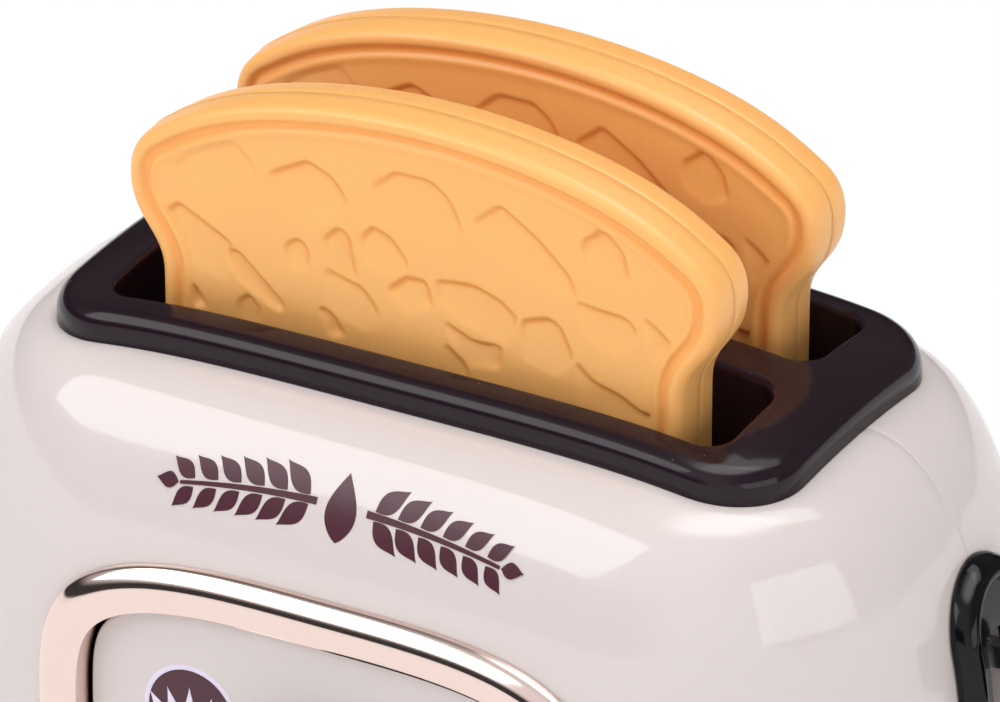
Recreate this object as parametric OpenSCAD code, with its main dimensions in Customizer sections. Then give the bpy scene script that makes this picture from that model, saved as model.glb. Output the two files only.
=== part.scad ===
// Toy toaster: two half shells round a spring-up toast carriage, with a battery timer that lets it go.
// Millimetres. +X is the lever's end, -Y the front with the oval ring, +Z up, the floor at z = 0.

/* [Body] */
// Height of the bezel's crown above the floor
crown_z = 130; // [124:0.5:140]
// Half the body's length at its belt
body_hx = 93; // [90:0.5:98]
// Half the body's depth at its belt
body_hy = 55; // [53:0.5:58]
// Corner radius of the belt, seen from above
belt_r = 51; // [46:0.5:53]
// How far the belt lies below the crown
belt_drop = 63.4; // [58:0.2:68]
// How far the body draws in from the belt to its foot
foot_inset = 8; // [4:0.5:12]
// Height of the shells' lower rim above the floor
rim_z = 10; // [9:0.5:14]
// Wall of the shells
shell_t = 2.2; // [1.8:0.1:2.8]
// Where the shells part and the lever runs, behind the middle of the slots
mid_y = 2.5; // [1:0.1:3.4]

/* [Bezel] */
// Half the bezel's length
bezel_hx = 68.3; // [66:0.1:72]
// Half the bezel's depth
bezel_hy = 32.7; // [31.5:0.1:35]
// Corner radius of the bezel
bezel_r = 14; // [11:0.5:18]
// Height of the bezel's edge above the shells
bezel_h = 5.2; // [4:0.1:7]
// Rounding of the bezel's shoulder
shoulder_r = 3; // [1.5:0.1:3.6]
// Drop of the crown towards the ends
end_drop = 4.5; // [2:0.1:6]
// Drop of the crown towards the long sides
side_drop = 2.6; // [1:0.1:4]
// Half the length of a toast slot
slot_hx = 56.8; // [55.6:0.1:58.5]
// Width of a toast slot
slot_w = 21.3; // [19.5:0.1:22]
// Distance of a slot's middle from the bezel's middle
slot_y = 15.35; // [15:0.05:16.2]
// Corner radius of a slot
slot_r = 4.8; // [2:0.1:7]

/* [Toast] */
// Thickness of a slice
slice_t = 12.2; // [10:0.1:13]
// Distance of a slice's middle from the bezel's middle
slice_y = 16.6; // [15.8:0.1:17]
// Play between the crust of a slice and each end of its slot
slice_play = 2.3; // [1.5:0.1:6]
// How far a slice's neck draws in from its crust
slice_waist = 6.2; // [5:0.1:10]
// How far a slice stands above the crown when it is up
slice_up = 38.1; // [30:0.1:44]
// Width of the raised rim round a slice's face
slice_rim = 6; // [3:0.5:9]
// Depth of a slice's face inside its rim
slice_dip = 1; // [0.4:0.1:1.6]
// Wall of a slice's two moulded halves
slice_wall = 1.8; // [1.4:0.1:2.4]
// Fall of a slice's top towards its corners
slice_fall = 16.7; // [12:0.1:20]

/* [Front] */
// Half the ring's width
ring_a = 53.7; // [48:0.1:56]
// Half the ring's height
ring_b = 32; // [29:0.1:34]
// Squareness of the ring, where 2 is an ellipse
ring_n = 3.05; // [2.4:0.05:3.6]
// Height of the ring's middle above the floor
ring_z = 64; // [62:0.5:66]
// Width of the ring's metal, seen from the front
ring_w = 9.3; // [8.5:0.1:10.5]
// How far the ring's bead stands proud
ring_h = 3.2; // [2.2:0.1:4]
// Radius of the timer dial
dial_r = 13; // [10:0.5:15]
// Depth of the timer dial
dial_h = 11; // [8:0.5:14]
// Height of the dial's middle above the floor
dial_z = 60; // [58:0.5:63]

/* [Lever] */
// Height of the lever when the toast is up
lever_z = 86; // [84:0.5:87]
// Travel of the lever
travel = 40; // [30:0.5:40]
// Half the width of the lever's housing
housing_hy = 11.9; // [11:0.1:14]
// Height of the housing's middle above the floor
housing_z = 68; // [66:0.5:69]
// Half the height of the housing
housing_hz = 34; // [32:0.5:36]
// How far the housing's rim stands proud
housing_h = 4.3; // [3:0.1:5]
// Half the width of the lever knob
knob_hy = 10; // [8:0.5:12]
// Height of the lever knob
knob_h = 11; // [8:0.5:12]
// Depth of the lever knob
knob_d = 10.4; // [9:0.2:14]

/* [Carriage] */
// Height of the toast rack when it is up
rack_z = 70; // [68:0.5:72]
// Radius of a guide rod
rod_r = 2; // [1.6:0.1:2.2]
// Distance of a guide rod from the lever's plane
rod_dy = 14.5; // [13.5:0.1:15.5]
// Wire of a return spring
wire_d = 0.9; // [0.7:0.05:1]
// Turns of a return spring
spring_turns = 9; // [6:1:10]

/* [Timer] */
// Module of the timer's gear teeth
gear_m = 0.8; // [0.7:0.05:0.85]
// Teeth of the motor pinion
pinion_n = 10; // [9:1:11]
// Teeth of the cam gear
cam_n = 30; // [27:3:33]
// Radius of the cam's lobe
lobe_r = 14.6; // [13:0.1:14.7]

/* [Battery] */
// Diameter of a battery
cell_d = 14.2; // [13.8:0.1:14.5]
// Length of a battery
cell_l = 50; // [49:0.5:51]

/* [Hidden] */
$fn = 48;

// clearances
seat = 0.3;            // between pieces that rest on each other
rim_gap = 0.3;         // between the bezel and the shells' opening
run = 0.05;            // radial, round a shaft or pin
crevice = 0.6;         // round the front panel

// colours
cream = [0.89, 0.85, 0.82];
umber = [0.13, 0.09, 0.11];
rose = [0.86, 0.70, 0.60];
toast = [1.0, 0.70, 0.38];
black = [0.06, 0.06, 0.07];
steel = [0.72, 0.73, 0.75];

// body
belt_z = crown_z - belt_drop;
top_hx = bezel_hx + rim_gap;
top_hy = bezel_hy + rim_gap;
top_r = bezel_r + rim_gap;
corner_steps = 9;
long_steps = 6;
short_steps = 2;
upper_steps = 10;
lower_steps = 5;

// bezel
skirt_in = 2.5;
skirt_z = crown_z - 22;
skin_z = crown_z - 9;
liner_t = 1.6;

// front
ring_steps = 72;
ring_back = 0.12;
window_w = ring_w - 3.2;
ring_dip = 2.8;
panel_face = front_y(0, ring_z) - 3;
panel_t = 2.2;
flange_t = 1.8;
flange_w = 4;
stem_r = 4;
dial_tip = panel_face + 0.5 + dial_h;

// lever
arm_t = 3;
arm_h = 4;
slot_half = 3.5;
knob_x0 = body_hx + housing_h + 1.5;
knob_tip = knob_x0 + knob_d;
socket_d = 7.5;
floor_h = 1.6;         // height of the housing's recessed floor above the shells
housing_arc = 20;
housing_side = 8;

// toast and carriage
slice_wide = slot_hx - slice_play;
slice_neck = slice_wide - slice_waist;
slice_h = crown_z + slice_up - rack_z - seat;
bulge_z = crown_z + 16.9 - rack_z - seat;
neck_z = crown_z + 4.5 - rack_z - seat;
heel_r = 6;
chamber_hx = slot_hx + 4.2;
chamber_hy = slot_y + slot_w / 2 + 3.5;
chamber_t = 1.6;
chamber_z0 = rack_z - travel;
chamber_z1 = skirt_z - seat;
rod_x = chamber_hx + 7;
arm_x0 = rod_x + 2;
head_x0 = chamber_hx + 1;
head_x1 = arm_x0 + 3;
rack_x = [4.8 - slot_hx, slot_hx - 5.8];
rod_y = [mid_y - rod_dy, mid_y + rod_dy];
hub_r = rod_r + 2.5;
hub_z0 = rack_z - 10;
leg_x = chamber_hx - 21;
leg_y = chamber_hy - 1.5;
leg_at = [[-leg_x, leg_y], [-leg_x, -leg_y], [leg_x, leg_y], [leg_x - 12, -leg_y]];
lug_z = 100;
lug_t = 4;
lamp_y = 8;
lamp_z = 80;
lamp_r = 2.5;
spring_r = rod_r + 1.4;
rack_hw = slice_t / 2 + 1.6;

// base
foot_h = 3;
floor_t = 2;
floor_z = foot_h + floor_t;
boss_z = floor_z + 4;
base_hx = body_hx - foot_inset;
base_hy = body_hy - foot_inset;
base_r = belt_r - foot_inset;
foot_at = [body_hx - 47, body_hy - 18.5];
foot_r = 6;
base_screw_at = [body_hx - 30, body_hy - 20.5];
post_r = 4;
shell_screw_x = (rod_x + body_hx - 3) / 2;
shell_screw_z = [rim_z + 14, skirt_z - 10];
thread_r = 1.45;
hole_r = 1.7;
head_r = 3;
head_h = 2.2;

// latch: it turns about a pin along X
pin_y = 2 - chamber_hy;
pin_z = 12;
pin_r = 1;
rocker_hub_r = 2.6;
nose_x = [head_x0, rod_x - 0.5];
catch_y = pin_y + 5.5;

// timer
cam_at = [chamber_hx - 13, pin_y + 16.5];
tail_x = [cam_at[0] - 3, cam_at[0] + 3];
gear_z = 17;
gear_t = 3;
cam_z = 20.6;
cam_t = 4.8;
axle_r = 1.5;
gear_d = gear_m * (pinion_n + cam_n) / 2;
motor_at = [cam_at[0] - gear_d, cam_at[1]];

// electrics
board_y = -chamber_hy - 5.6;
board_t = 1.6;
board_x = [23 - chamber_hx, chamber_hx - 31];
board_z = [chamber_z0 + 14, skirt_z - 16];
board_inset = 4;
speaker_at = [22, body_hy - 31];
speaker_r = 14;
switch_at = [10, 20 - body_hy];
bay_x = [-63.5, -8.5];
bay_hy = 1.5 * (cell_d + 1) + 0.7;
bay_h = cell_d + 1;
bay_t = 1.6;
door_x = [bay_x[0] - bay_t, 0];
door_hy = bay_hy + bay_t;
ledge = 1.2;
door_screw_x = -3.4;

// where the whole is moved, so that the floor's middle is the origin
place_x = (body_hx - knob_tip) / 2;
place_y = (dial_tip - body_hy) / 2;

// ---------------------------------------------------------------- curves and surfaces

// One corner of a rounded rectangle and the straight side after it, q = 0 to 3 counter-clockwise
function corner(hx, hy, r, q) =
    let (sx = [1, -1, -1, 1][q], sy = [1, 1, -1, -1][q], a0 = 90 * q)
    [for (i = [0:corner_steps]) let (a = a0 + 90 * i / corner_steps)
        [sx * (hx - r) + r * cos(a), sy * (hy - r) + r * sin(a)]];
function rrect(hx, hy, r) = [for (q = [0:3])
    let (c = corner(hx, hy, r, q), n = corner(hx, hy, r, (q + 1) % 4),
         m = q % 2 == 0 ? long_steps : short_steps, p = c[corner_steps])
    each concat(c, [for (i = [1:m - 1]) p + (n[0] - p) * i / m])];

// Half length, half depth and corner radius of the body at height z
function upper(q) = [top_hx + (body_hx - top_hx) * q, top_hy + (body_hy - top_hy) * q,
    top_r + (belt_r - top_r) * q];
function lower(s) = [body_hx, body_hy, belt_r] - [1, 1, 1] * foot_inset * s * s;
function level(z, top) = z >= belt_z ? upper(sin(acos(min(1, (z - belt_z) / (top - belt_z)))))
    : lower((belt_z - z) / (belt_z - rim_z));
function reach(across, far, wide, r) =
    far - r + sqrt(r * r - pow(max(0, abs(across) - (wide - r)), 2));
// Distance of the front surface from the XZ plane, and of the end surface from the YZ plane
function front_y(x, z) = let (v = level(z, crown_z - side_drop - bezel_h)) reach(x, v[1], v[0], v[2]);
function end_x(y, z) = let (v = level(z, crown_z - end_drop - bezel_h)) reach(y, v[0], v[1], v[2]);
// Fall of the crown at a point of the plan
function fall(p) = end_drop * pow(p[0] / bezel_hx, 4) + side_drop * pow(p[1] / bezel_hy, 2);

// A ring of the body's surface at angle t of its quarter round, d inside the outer skin
function body_ring(t, d) =
    let (c = rrect(top_hx - d / 2, top_hy - d / 2, top_r - d / 2),
         e = rrect(body_hx - d, body_hy - d, belt_r - d))
    [for (i = [0:len(c) - 1]) let (p = c[i] + (e[i] - c[i]) * sin(t),
        edge = crown_z - fall(c[i]) - bezel_h - d)
        [p[0], p[1], belt_z + (edge - belt_z) * cos(t)]];
function foot_ring(s, d) = let (v = lower(s) - [d, d, d])
    [for (p = rrect(v[0], v[1], v[2])) [p[0], p[1], belt_z - (belt_z - rim_z) * s]];

// A closed solid through rings of equal count, from the lowest ring to the highest
module loft(rings, low, high) {
    m = len(rings);
    n = len(rings[0]);
    sides = [for (i = [0:m - 2]) for (j = [0:n - 1])
        let (a = i * n + j, b = i * n + (j + 1) % n, c = b + n, d = a + n) each [[a, c, b], [a, d, c]]];
    caps = [for (j = [0:n - 1]) let (k = (j + 1) % n)
        each [[m * n, j, k], [m * n + 1, (m - 1) * n + k, (m - 1) * n + j]]];
    polyhedron(concat([for (r = rings) each r], [low, high]), concat(sides, caps));
}

// A closed loop whose section is carried round it
module loop(rings) {
    m = len(rings);
    n = len(rings[0]);
    polyhedron([for (r = rings) each r], [for (i = [0:m - 1]) for (j = [0:n - 1])
        let (e = (i + 1) % m, k = (j + 1) % n, a = i * n + j, b = i * n + k, c = e * n + k, d = e * n + j)
        each [[a, b, c], [a, c, d]]]);
}

// The whole body as a block, d inside the outer skin
module body_block(d, foot = rim_z) {
    rings = concat(
        foot < rim_z ? [[for (p = foot_ring(1, d)) [p[0], p[1], foot]]] : [],
        [for (j = [lower_steps:-1:1]) foot_ring(j / lower_steps, d)],
        [for (i = [upper_steps:-1:0]) body_ring(90 * i / upper_steps, d)]);
    loft(rings, [0, 0, foot], [0, 0, crown_z - bezel_h - side_drop - d]);
}

// A rounded rectangle as exact arcs and lines
module rounded(hx, hy, r) {
    square([2 * hx, 2 * (hy - r)], center = true);
    square([2 * (hx - r), 2 * hy], center = true);
    for (sx = [-1, 1], sy = [-1, 1]) translate([sx * (hx - r), sy * (hy - r)]) circle(r);
}
module tub(hx, hy, r, h) linear_extrude(h) rounded(hx, hy, r);
module box(lo, hi) translate(lo) cube(hi - lo);
module along_y(r, y0, y1) translate([0, y0, 0]) rotate([-90, 0, 0]) cylinder(r = r, h = y1 - y0);
module along_x(r, x0, x1) translate([x0, 0, 0]) rotate([0, 90, 0]) cylinder(r = r, h = x1 - x0);
module place() translate([place_x, place_y, 0]) children();

// ---------------------------------------------------------------- shells

module shell_bosses(r) for (x = [-1, 1] * shell_screw_x, z = shell_screw_z)
    translate([x, 0, z]) along_y(r, -body_hy, body_hy);

// Post for a base screw, with its web to the wall
module base_post(x, y) translate([x, y, boss_z + seat]) {
    cylinder(r = post_r, h = 18);
    translate([-1, y > 0 ? 0 : -12, rim_z + 5 - boss_z]) cube([2, 12, 13 - rim_z + boss_z]);
}

module shell(front) {
    y0 = front ? -body_hy - 1 : mid_y;
    depth = front ? body_hy + 1 + mid_y : body_hy + 1 - mid_y;
    side = front ? -1 : 1;
    difference() {
        intersection() {
            body_block(0);
            translate([-body_hx - 1, y0, 0]) cube([2 * body_hx + 2, depth, crown_z]);
        }
        difference() {
            body_block(shell_t, rim_z - 1);
            shell_bosses(front ? 3.6 : 4.5);
            for (x = [-1, 1] * base_screw_at[0]) base_post(x, side * base_screw_at[1]);
        }
        translate([0, 0, belt_z]) tub(top_hx - 2.4, top_hy - 2.4, top_r - 2.4, crown_z - belt_z);
        for (x = [-1, 1] * base_screw_at[0]) translate([x, side * base_screw_at[1], boss_z - 1])
            cylinder(r = thread_r, h = 14);
        box([body_hx - 12, mid_y - slot_half, lever_z - arm_h / 2 - travel - 2],
            [body_hx + 1, mid_y + slot_half, lever_z + arm_h / 2 + 2]);
        for (x = [-1, 1] * shell_screw_x, z = shell_screw_z) translate([x, 0, z])
            if (front) along_y(thread_r, mid_y - 13, mid_y + 1);
            else {
                along_y(hole_r, mid_y - 1, mid_y + 7);
                along_y(head_r + 0.3, mid_y + 6, body_hy + 1);
            }
        if (front) window();
    }
}

// The opening behind the ring
module window() translate([0, -body_hy + 12, ring_z]) rotate([90, 0, 0])
    linear_extrude(14) polygon(oval(window_w));

module front_shell() color(cream) place() shell(true);
module rear_shell() color(cream) place() shell(false);

// ---------------------------------------------------------------- bezel

function bezel_ring(in, z_of) = [for (p = rrect(bezel_hx - in, bezel_hy - in, bezel_r - in))
    [p[0], p[1], crown_z - fall(p) - z_of]];
function bezel_cap(s) = [for (p = rrect(bezel_hx - shoulder_r, bezel_hy - shoulder_r, bezel_r - shoulder_r) * s)
    [p[0], p[1], crown_z - fall(p)]];

module slots(grow, h) for (y = [-1, 1] * slot_y) translate([0, y, 0])
    tub(slot_hx + grow, slot_w / 2 + grow, slot_r + grow, h);

module top_bezel() color(umber) place() difference() {
    loft(concat(
        [[for (p = rrect(bezel_hx - skirt_in, bezel_hy - skirt_in, bezel_r - skirt_in)) [p[0], p[1], skirt_z]],
         bezel_ring(skirt_in, bezel_h - 0.2), bezel_ring(0, bezel_h - 0.2)],
        [for (a = [0:30:60]) bezel_ring(shoulder_r * (1 - cos(a)), shoulder_r * (1 - sin(a)))],
        [for (s = [1, 0.86, 0.7, 0.5, 0.3, 0.1]) bezel_cap(s)]),
        [0, 0, skirt_z], [0, 0, crown_z]);
    translate([0, 0, skirt_z - 1]) slots(0, crown_z);
    translate([0, 0, skirt_z - 1]) linear_extrude(skin_z - skirt_z + 1) difference() {
        rounded(bezel_hx - skirt_in - liner_t, bezel_hy - skirt_in - liner_t, bezel_r - skirt_in - liner_t);
        for (y = [-1, 1] * slot_y) translate([0, y])
            rounded(slot_hx + liner_t, slot_w / 2 + liner_t, slot_r + liner_t);
    }
}

// ---------------------------------------------------------------- front ring, panel and dial

function spow(v, e) = sign(v) * pow(abs(v), e);
function oval_at(t) = [ring_a * spow(cos(t), 2 / ring_n), ring_b * spow(sin(t), 2 / ring_n)];
function oval_out(t) = let (d = oval_at(t + 0.5) - oval_at(t - 0.5)) [d[1], -d[0]] / norm(d);
// The ring's outline drawn in by w; stations lie closer together at the corners
function station(i) = let (a = 360 * i / ring_steps) a - 9 * sin(4 * a);
function oval(w) = [for (i = [0:ring_steps - 1]) oval_at(station(i)) - w * oval_out(station(i))];

// Section of the ring: how far in from its edge, and how far out from the body
ring_section = [[0, ring_back], [0.3, ring_h * 0.5], [1.4, ring_h * 0.88], [2.8, ring_h],
    [4.4, ring_h * 0.82], [5.6, ring_h * 0.4], [ring_w, -ring_dip], [ring_w - 0.9, -ring_dip],
    [window_w + 0.4, -0.4], [window_w - 0.1, ring_back]];

module front_ring() color(rose) place() loop([for (i = [0:ring_steps - 1])
    [for (s = ring_section) let (p = oval_at(station(i)) - s[0] * oval_out(station(i)))
        [p[0], -front_y(p[0], ring_z + p[1]) - s[1], ring_z + p[1]]]]);

module front_panel() color(cream) place() difference() {
    translate([0, -panel_face, ring_z]) rotate([-90, 0, 0]) {
        linear_extrude(panel_t) polygon([for (p = oval(ring_w + crevice)) [p[0], -p[1]]]);
        translate([0, 0, panel_t]) linear_extrude(flange_t)
            polygon([for (p = oval(ring_w + crevice - flange_w)) [p[0], -p[1]]]);
    }
    translate([0, 0, dial_z]) along_y(stem_r + run, -body_hy, 0);
}

module timer_dial() color(umber) place() translate([0, -dial_tip, dial_z]) rotate([-90, 0, 0])
    rotate_extrude() polygon([[0, 0], [dial_r - 4, 0], [dial_r - 1.8, 0.6], [dial_r - 1, 2],
        [dial_r, dial_h - 1], [dial_r, dial_h], [stem_r, dial_h],
        [stem_r, dial_tip + board_y - 7], [0, dial_tip + board_y - 7]]);

module dial_switch() color(black) place() {
    box([-7, board_y - 6.7, dial_z - 7], [7, board_y - 0.1, dial_z + 7]);
}

// ---------------------------------------------------------------- lever

// Outline of the housing, an oblong with round ends, drawn in by w
function oblong(w) = let (r = housing_hy - w, straight = housing_hz - housing_hy)
    [for (s = [1, -1]) each concat(
        [for (i = [0:housing_arc]) let (a = 180 * i / housing_arc) s * [r * cos(a), straight + r * sin(a)]],
        [for (i = [1:housing_side - 1]) s * [-r, straight * (1 - 2 * i / housing_side)]])];
function housing_ring(w, h) = [for (p = oblong(w))
    [end_x(mid_y + p[0], housing_z + p[1]) + h, mid_y + p[0], housing_z + p[1]]];

module lever_housing() color(black) place() difference() {
    loft(concat(
        [for (w = [housing_hy - 1, 8.2, 5.5, 2.7, 0]) housing_ring(w, seat / 2)],
        [housing_ring(0, housing_h * 0.45), housing_ring(0.7, housing_h * 0.85),
         housing_ring(2, housing_h), housing_ring(3.3, housing_h * 0.85)],
        [for (w = [4.1, 7, housing_hy - 2]) housing_ring(w, floor_h)]),
        [end_x(mid_y, housing_z) + seat / 2, mid_y, housing_z],
        [end_x(mid_y, housing_z) + floor_h, mid_y, housing_z]);
    box([body_hx - 12, mid_y - slot_half, lever_z - arm_h / 2 - travel - 2],
        [body_hx + 9, mid_y + slot_half, lever_z + arm_h / 2 + 2]);
}

module lever_arm() color(steel) place() {
    box([arm_x0, mid_y - arm_t / 2, rack_z], [arm_x0 + 3.5, mid_y + arm_t / 2, lever_z + arm_h / 2]);
    box([arm_x0, mid_y - arm_t / 2, lever_z - arm_h / 2],
        [knob_x0 + socket_d - seat, mid_y + arm_t / 2, lever_z + arm_h / 2]);
}

module lever_knob() color(black) place() difference() {
    translate([knob_x0, mid_y, lever_z]) hull() for (sy = [-1, 1], sz = [-1, 1]) {
        translate([2, sy * (knob_hy - 3.5), sz * (knob_h / 2 - 3)]) sphere(2, $fn = 24);
        translate([knob_d - 3, sy * (knob_hy - 3), sz * (knob_h / 2 - 3)]) sphere(3, $fn = 24);
    }
    box([knob_x0 - 1, mid_y - arm_t / 2 - 0.1, lever_z - arm_h / 2 - 0.1],
        [knob_x0 + socket_d, mid_y + arm_t / 2 + 0.1, lever_z + arm_h / 2 + 0.1]);
}

// ---------------------------------------------------------------- carriage, rods and springs

module carriage() color(black) place() difference() {
    union() {
        for (y = [-1, 1] * slice_y) {
            box([rack_x[0], y - rack_hw, rack_z - 2], [rack_x[1], y + rack_hw, rack_z]);
            for (s = [-1, 1]) translate([rack_x[0], y + s * (rack_hw - 0.6) - 0.6, rack_z - 0.5])
                cube([rack_x[1] - rack_x[0], 1.2, 6]);
        }
        box([rack_x[1], -slice_y - rack_hw, rack_z - 4], [chamber_hx - 3.5, slice_y + rack_hw, rack_z]);
        box([chamber_hx - 4, mid_y - 2.5, rack_z - 6], [head_x0 + 1, mid_y + 2.5, rack_z]);
        box([head_x0, catch_y, rack_z - 6], [head_x1, mid_y + rod_dy + hub_r, rack_z]);
        for (y = rod_y) translate([rod_x, y, hub_z0]) cylinder(r = hub_r, h = rack_z + 2 - hub_z0);
    }
    for (y = rod_y) translate([rod_x, y, hub_z0 - 1]) cylinder(r = rod_r + run, h = 20);
}

module guide_rods() color(steel) place() for (y = rod_y)
    translate([rod_x, y, boss_z - 2.8]) cylinder(r = rod_r, h = lug_z + lug_t - boss_z + 2.8);

// One coil spring of round wire: the wire's middle runs up a helix
function helix(t, r, h) = [r * cos(360 * t), r * sin(360 * t), h * t];
module coil(r, wire, turns, h, sides = 6) {
    pitch = h / turns;
    per_turn = 8;
    steps = turns * per_turn;
    rings = [for (i = [0:steps]) let (t = i / per_turn, c = helix(t, r, pitch),
        out = [cos(360 * t), sin(360 * t), 0], along = helix(t + 0.01, r, pitch) - helix(t - 0.01, r, pitch),
        up = cross(out, along) / norm(along))
        [for (k = [0:sides - 1]) c + wire / 2 * (out * cos(360 * k / sides) - up * sin(360 * k / sides))]];
    loft(rings, rings[0][0] / 2 + rings[0][sides / 2] / 2, rings[steps][0] / 2 + rings[steps][sides / 2] / 2);
}
spring_z0 = boss_z + wire_d / 2 + seat;
spring_h = hub_z0 - seat - wire_d / 2 - spring_z0;
echo(return_spring_gap = spring_h / spring_turns - wire_d);

module return_springs() color(steel) place() for (y = rod_y)
    translate([rod_x, y, spring_z0]) coil(spring_r, wire_d, spring_turns, spring_h);

// ---------------------------------------------------------------- toast chamber

module toast_chamber() color(black) place() difference() {
    union() {
        translate([0, 0, chamber_z0]) tub(chamber_hx, chamber_hy, 5, chamber_z1 - chamber_z0);
        for (p = leg_at) box([p[0] - 2, p[1] - 1.5, floor_z + seat], [p[0] + 2, p[1] + 1.5, chamber_z0 + 1]);
        box([chamber_hx - 1, rod_y[0] - hub_r, lug_z], [rod_x + hub_r, rod_y[1] + hub_r, lug_z + lug_t]);
        for (x = board_x, z = board_z) translate([mix(x, board_x), 0, mix(z, board_z)])
            along_y(3, board_y + board_t + 0.05, -chamber_hy + 1);
    }
    translate([0, 0, chamber_z0 - 1])
        tub(chamber_hx - chamber_t, chamber_hy - chamber_t, 5 - chamber_t, chamber_z1);
    box([chamber_hx - 5, mid_y - slot_half, chamber_z0 - 1], [chamber_hx + 1, mid_y + slot_half, rack_z + 8]);
    for (y = rod_y) translate([rod_x, y, lug_z - 1]) cylinder(r = rod_r, h = lug_t + 2);
    for (x = board_x, z = board_z) translate([mix(x, board_x), 0, mix(z, board_z)])
        along_y(1, board_y, board_y + board_t + 5);
    for (y = [-1, 1] * lamp_y) translate([0, y, lamp_z]) along_x(lamp_r + run, -chamber_hx - 1, -chamber_hx + 3);
}
// Draws a board corner in by its screw's edge distance
function mix(v, span) = v == span[0] ? v + board_inset : v - board_inset;

module glow_lamps() color("crimson") place() for (y = [-1, 1] * lamp_y)
    translate([-chamber_hx - 1.6, y, lamp_z]) rotate([0, 90, 0]) rotate_extrude()
        polygon([[0, 0], [3.1, 0], [3.1, 1.5], [lamp_r, 1.5], [lamp_r, 4], [1.7, 5.6], [0, 6]]);

// ---------------------------------------------------------------- toast

function bezier(a, b, c, d, n) = [for (i = [0:n]) let (t = i / n, u = 1 - t)
    u * u * u * a + 3 * u * u * t * b + 3 * u * t * t * c + t * t * t * d];
// Height of a slice's top at distance x from its middle
function slice_top(x) = let (u = x / slice_wide)
    slice_h - slice_fall * (0.695 * pow(u, 2) + 0.305 * pow(u, 6));
// Right half of a slice, drawn in by w, from its foot to the middle of its crown
function half_slice(w) =
    let (n = slice_neck - w, m = slice_wide - w, x = slice_wide * 0.9 - w * 0.6, z = slice_top(x) - w)
    concat(
        [for (a = [-90:15:0]) [n - heel_r + heel_r * cos(a), w + heel_r + heel_r * sin(a)]],
        bezier([n, neck_z - 4], [n, neck_z + 3], [m, bulge_z - 9], [m, bulge_z], 8),
        bezier([m, bulge_z + 0.5], [m, bulge_z + 5], [x + 3, z - 1.6], [x, z], 7),
        [for (i = [7:-1:1]) [x * i / 8, slice_top(x * i / 8) - w]]);
function slice_outline(w) = let (h = half_slice(w))
    concat(h, [[0, slice_h - w]], [for (i = [len(h) - 1:-1:0]) [-h[i][0], h[i][1]]]);

// Half of a slice, hollow, open at the middle of its thickness; s is the way it faces
module slice_half(y, s) color(toast) place() translate([0, y, rack_z + seat]) rotate([90, 0, 0])
    mirror([0, 0, s > 0 ? 1 : 0]) difference() {
        linear_extrude(slice_t / 2) polygon(slice_outline(0));
        translate([0, 0, slice_t / 2 - slice_dip])
            linear_extrude(slice_dip + 1) polygon(slice_outline(slice_rim));
        translate([0, 0, -1])
            linear_extrude(slice_t / 2 - slice_dip - slice_wall + 1) polygon(slice_outline(slice_wall));
    }
module front_slice_face() slice_half(-slice_y, -1);
module front_slice_back() slice_half(-slice_y, 1);
module rear_slice_face() slice_half(slice_y, -1);
module rear_slice_back() slice_half(slice_y, 1);

// ---------------------------------------------------------------- latch

module latch_rocker() color("ivory") place() difference() {
    union() {
        translate([0, pin_y, pin_z]) along_x(rocker_hub_r, tail_x[0], nose_x[1]);
        box([tail_x[0], pin_y - 1.5, pin_z], [tail_x[1], pin_y + 1.5, cam_z + cam_t]);
        box([nose_x[0], pin_y - 1.5, pin_z], [nose_x[1], pin_y + 1.5, rack_z - travel + 6]);
        box([nose_x[0], pin_y, rack_z - travel + 1.4], [nose_x[1], catch_y - 0.6, rack_z - travel + 6]);
    }
    translate([0, pin_y, pin_z]) along_x(pin_r + run, tail_x[0] - 1, nose_x[1] + 1);
}

ear_x = [tail_x[0] - 5.5, nose_x[1] + 0.4];
ear_t = 2;
module latch_pin() color(steel) place() translate([0, pin_y, pin_z])
    along_x(pin_r, ear_x[0] - 0.5, ear_x[1] + ear_t + 0.5);

// Torsion spring round the pin, between the ear and the rocker's hub
module latch_spring() color(steel) place() translate([ear_x[0] + ear_t + 0.5, pin_y, pin_z])
    rotate([0, 90, 0]) coil(1.9, 0.45, 3, 2.5);

// ---------------------------------------------------------------- timer

// A gear's outline: trapezoid teeth, thin enough to run with play
function gear_points(n, turn) = [for (i = [0:n - 1]) let (p = gear_m * n / 2, step = 360 / n, c = i * step + turn)
    each [for (v = [[-0.5, -1.2], [-0.31, -1.2], [-0.2, 0], [-0.09, 0.85], [0.09, 0.85], [0.2, 0], [0.31, -1.2]])
        let (r = p + v[1] * gear_m, a = c + v[0] * step) [r * cos(a), r * sin(a)]]];

module timer_motor() color(steel) place() translate([motor_at[0], motor_at[1], floor_z + seat]) {
    intersection() {
        cylinder(r = 6, h = gear_z - floor_z - 1);
        translate([-6, -5, 0]) cube([12, 10, gear_z - floor_z]);
    }
    cylinder(r = 1, h = gear_z + gear_t - floor_z - seat);
}

module motor_pinion() color("ivory") place() translate([motor_at[0], motor_at[1], gear_z - 0.3])
    difference() {
        linear_extrude(gear_t + 0.5) polygon(gear_points(pinion_n, 180 / pinion_n));
        translate([0, 0, -1]) cylinder(r = 1 + run, h = gear_t + 3);
    }

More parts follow.
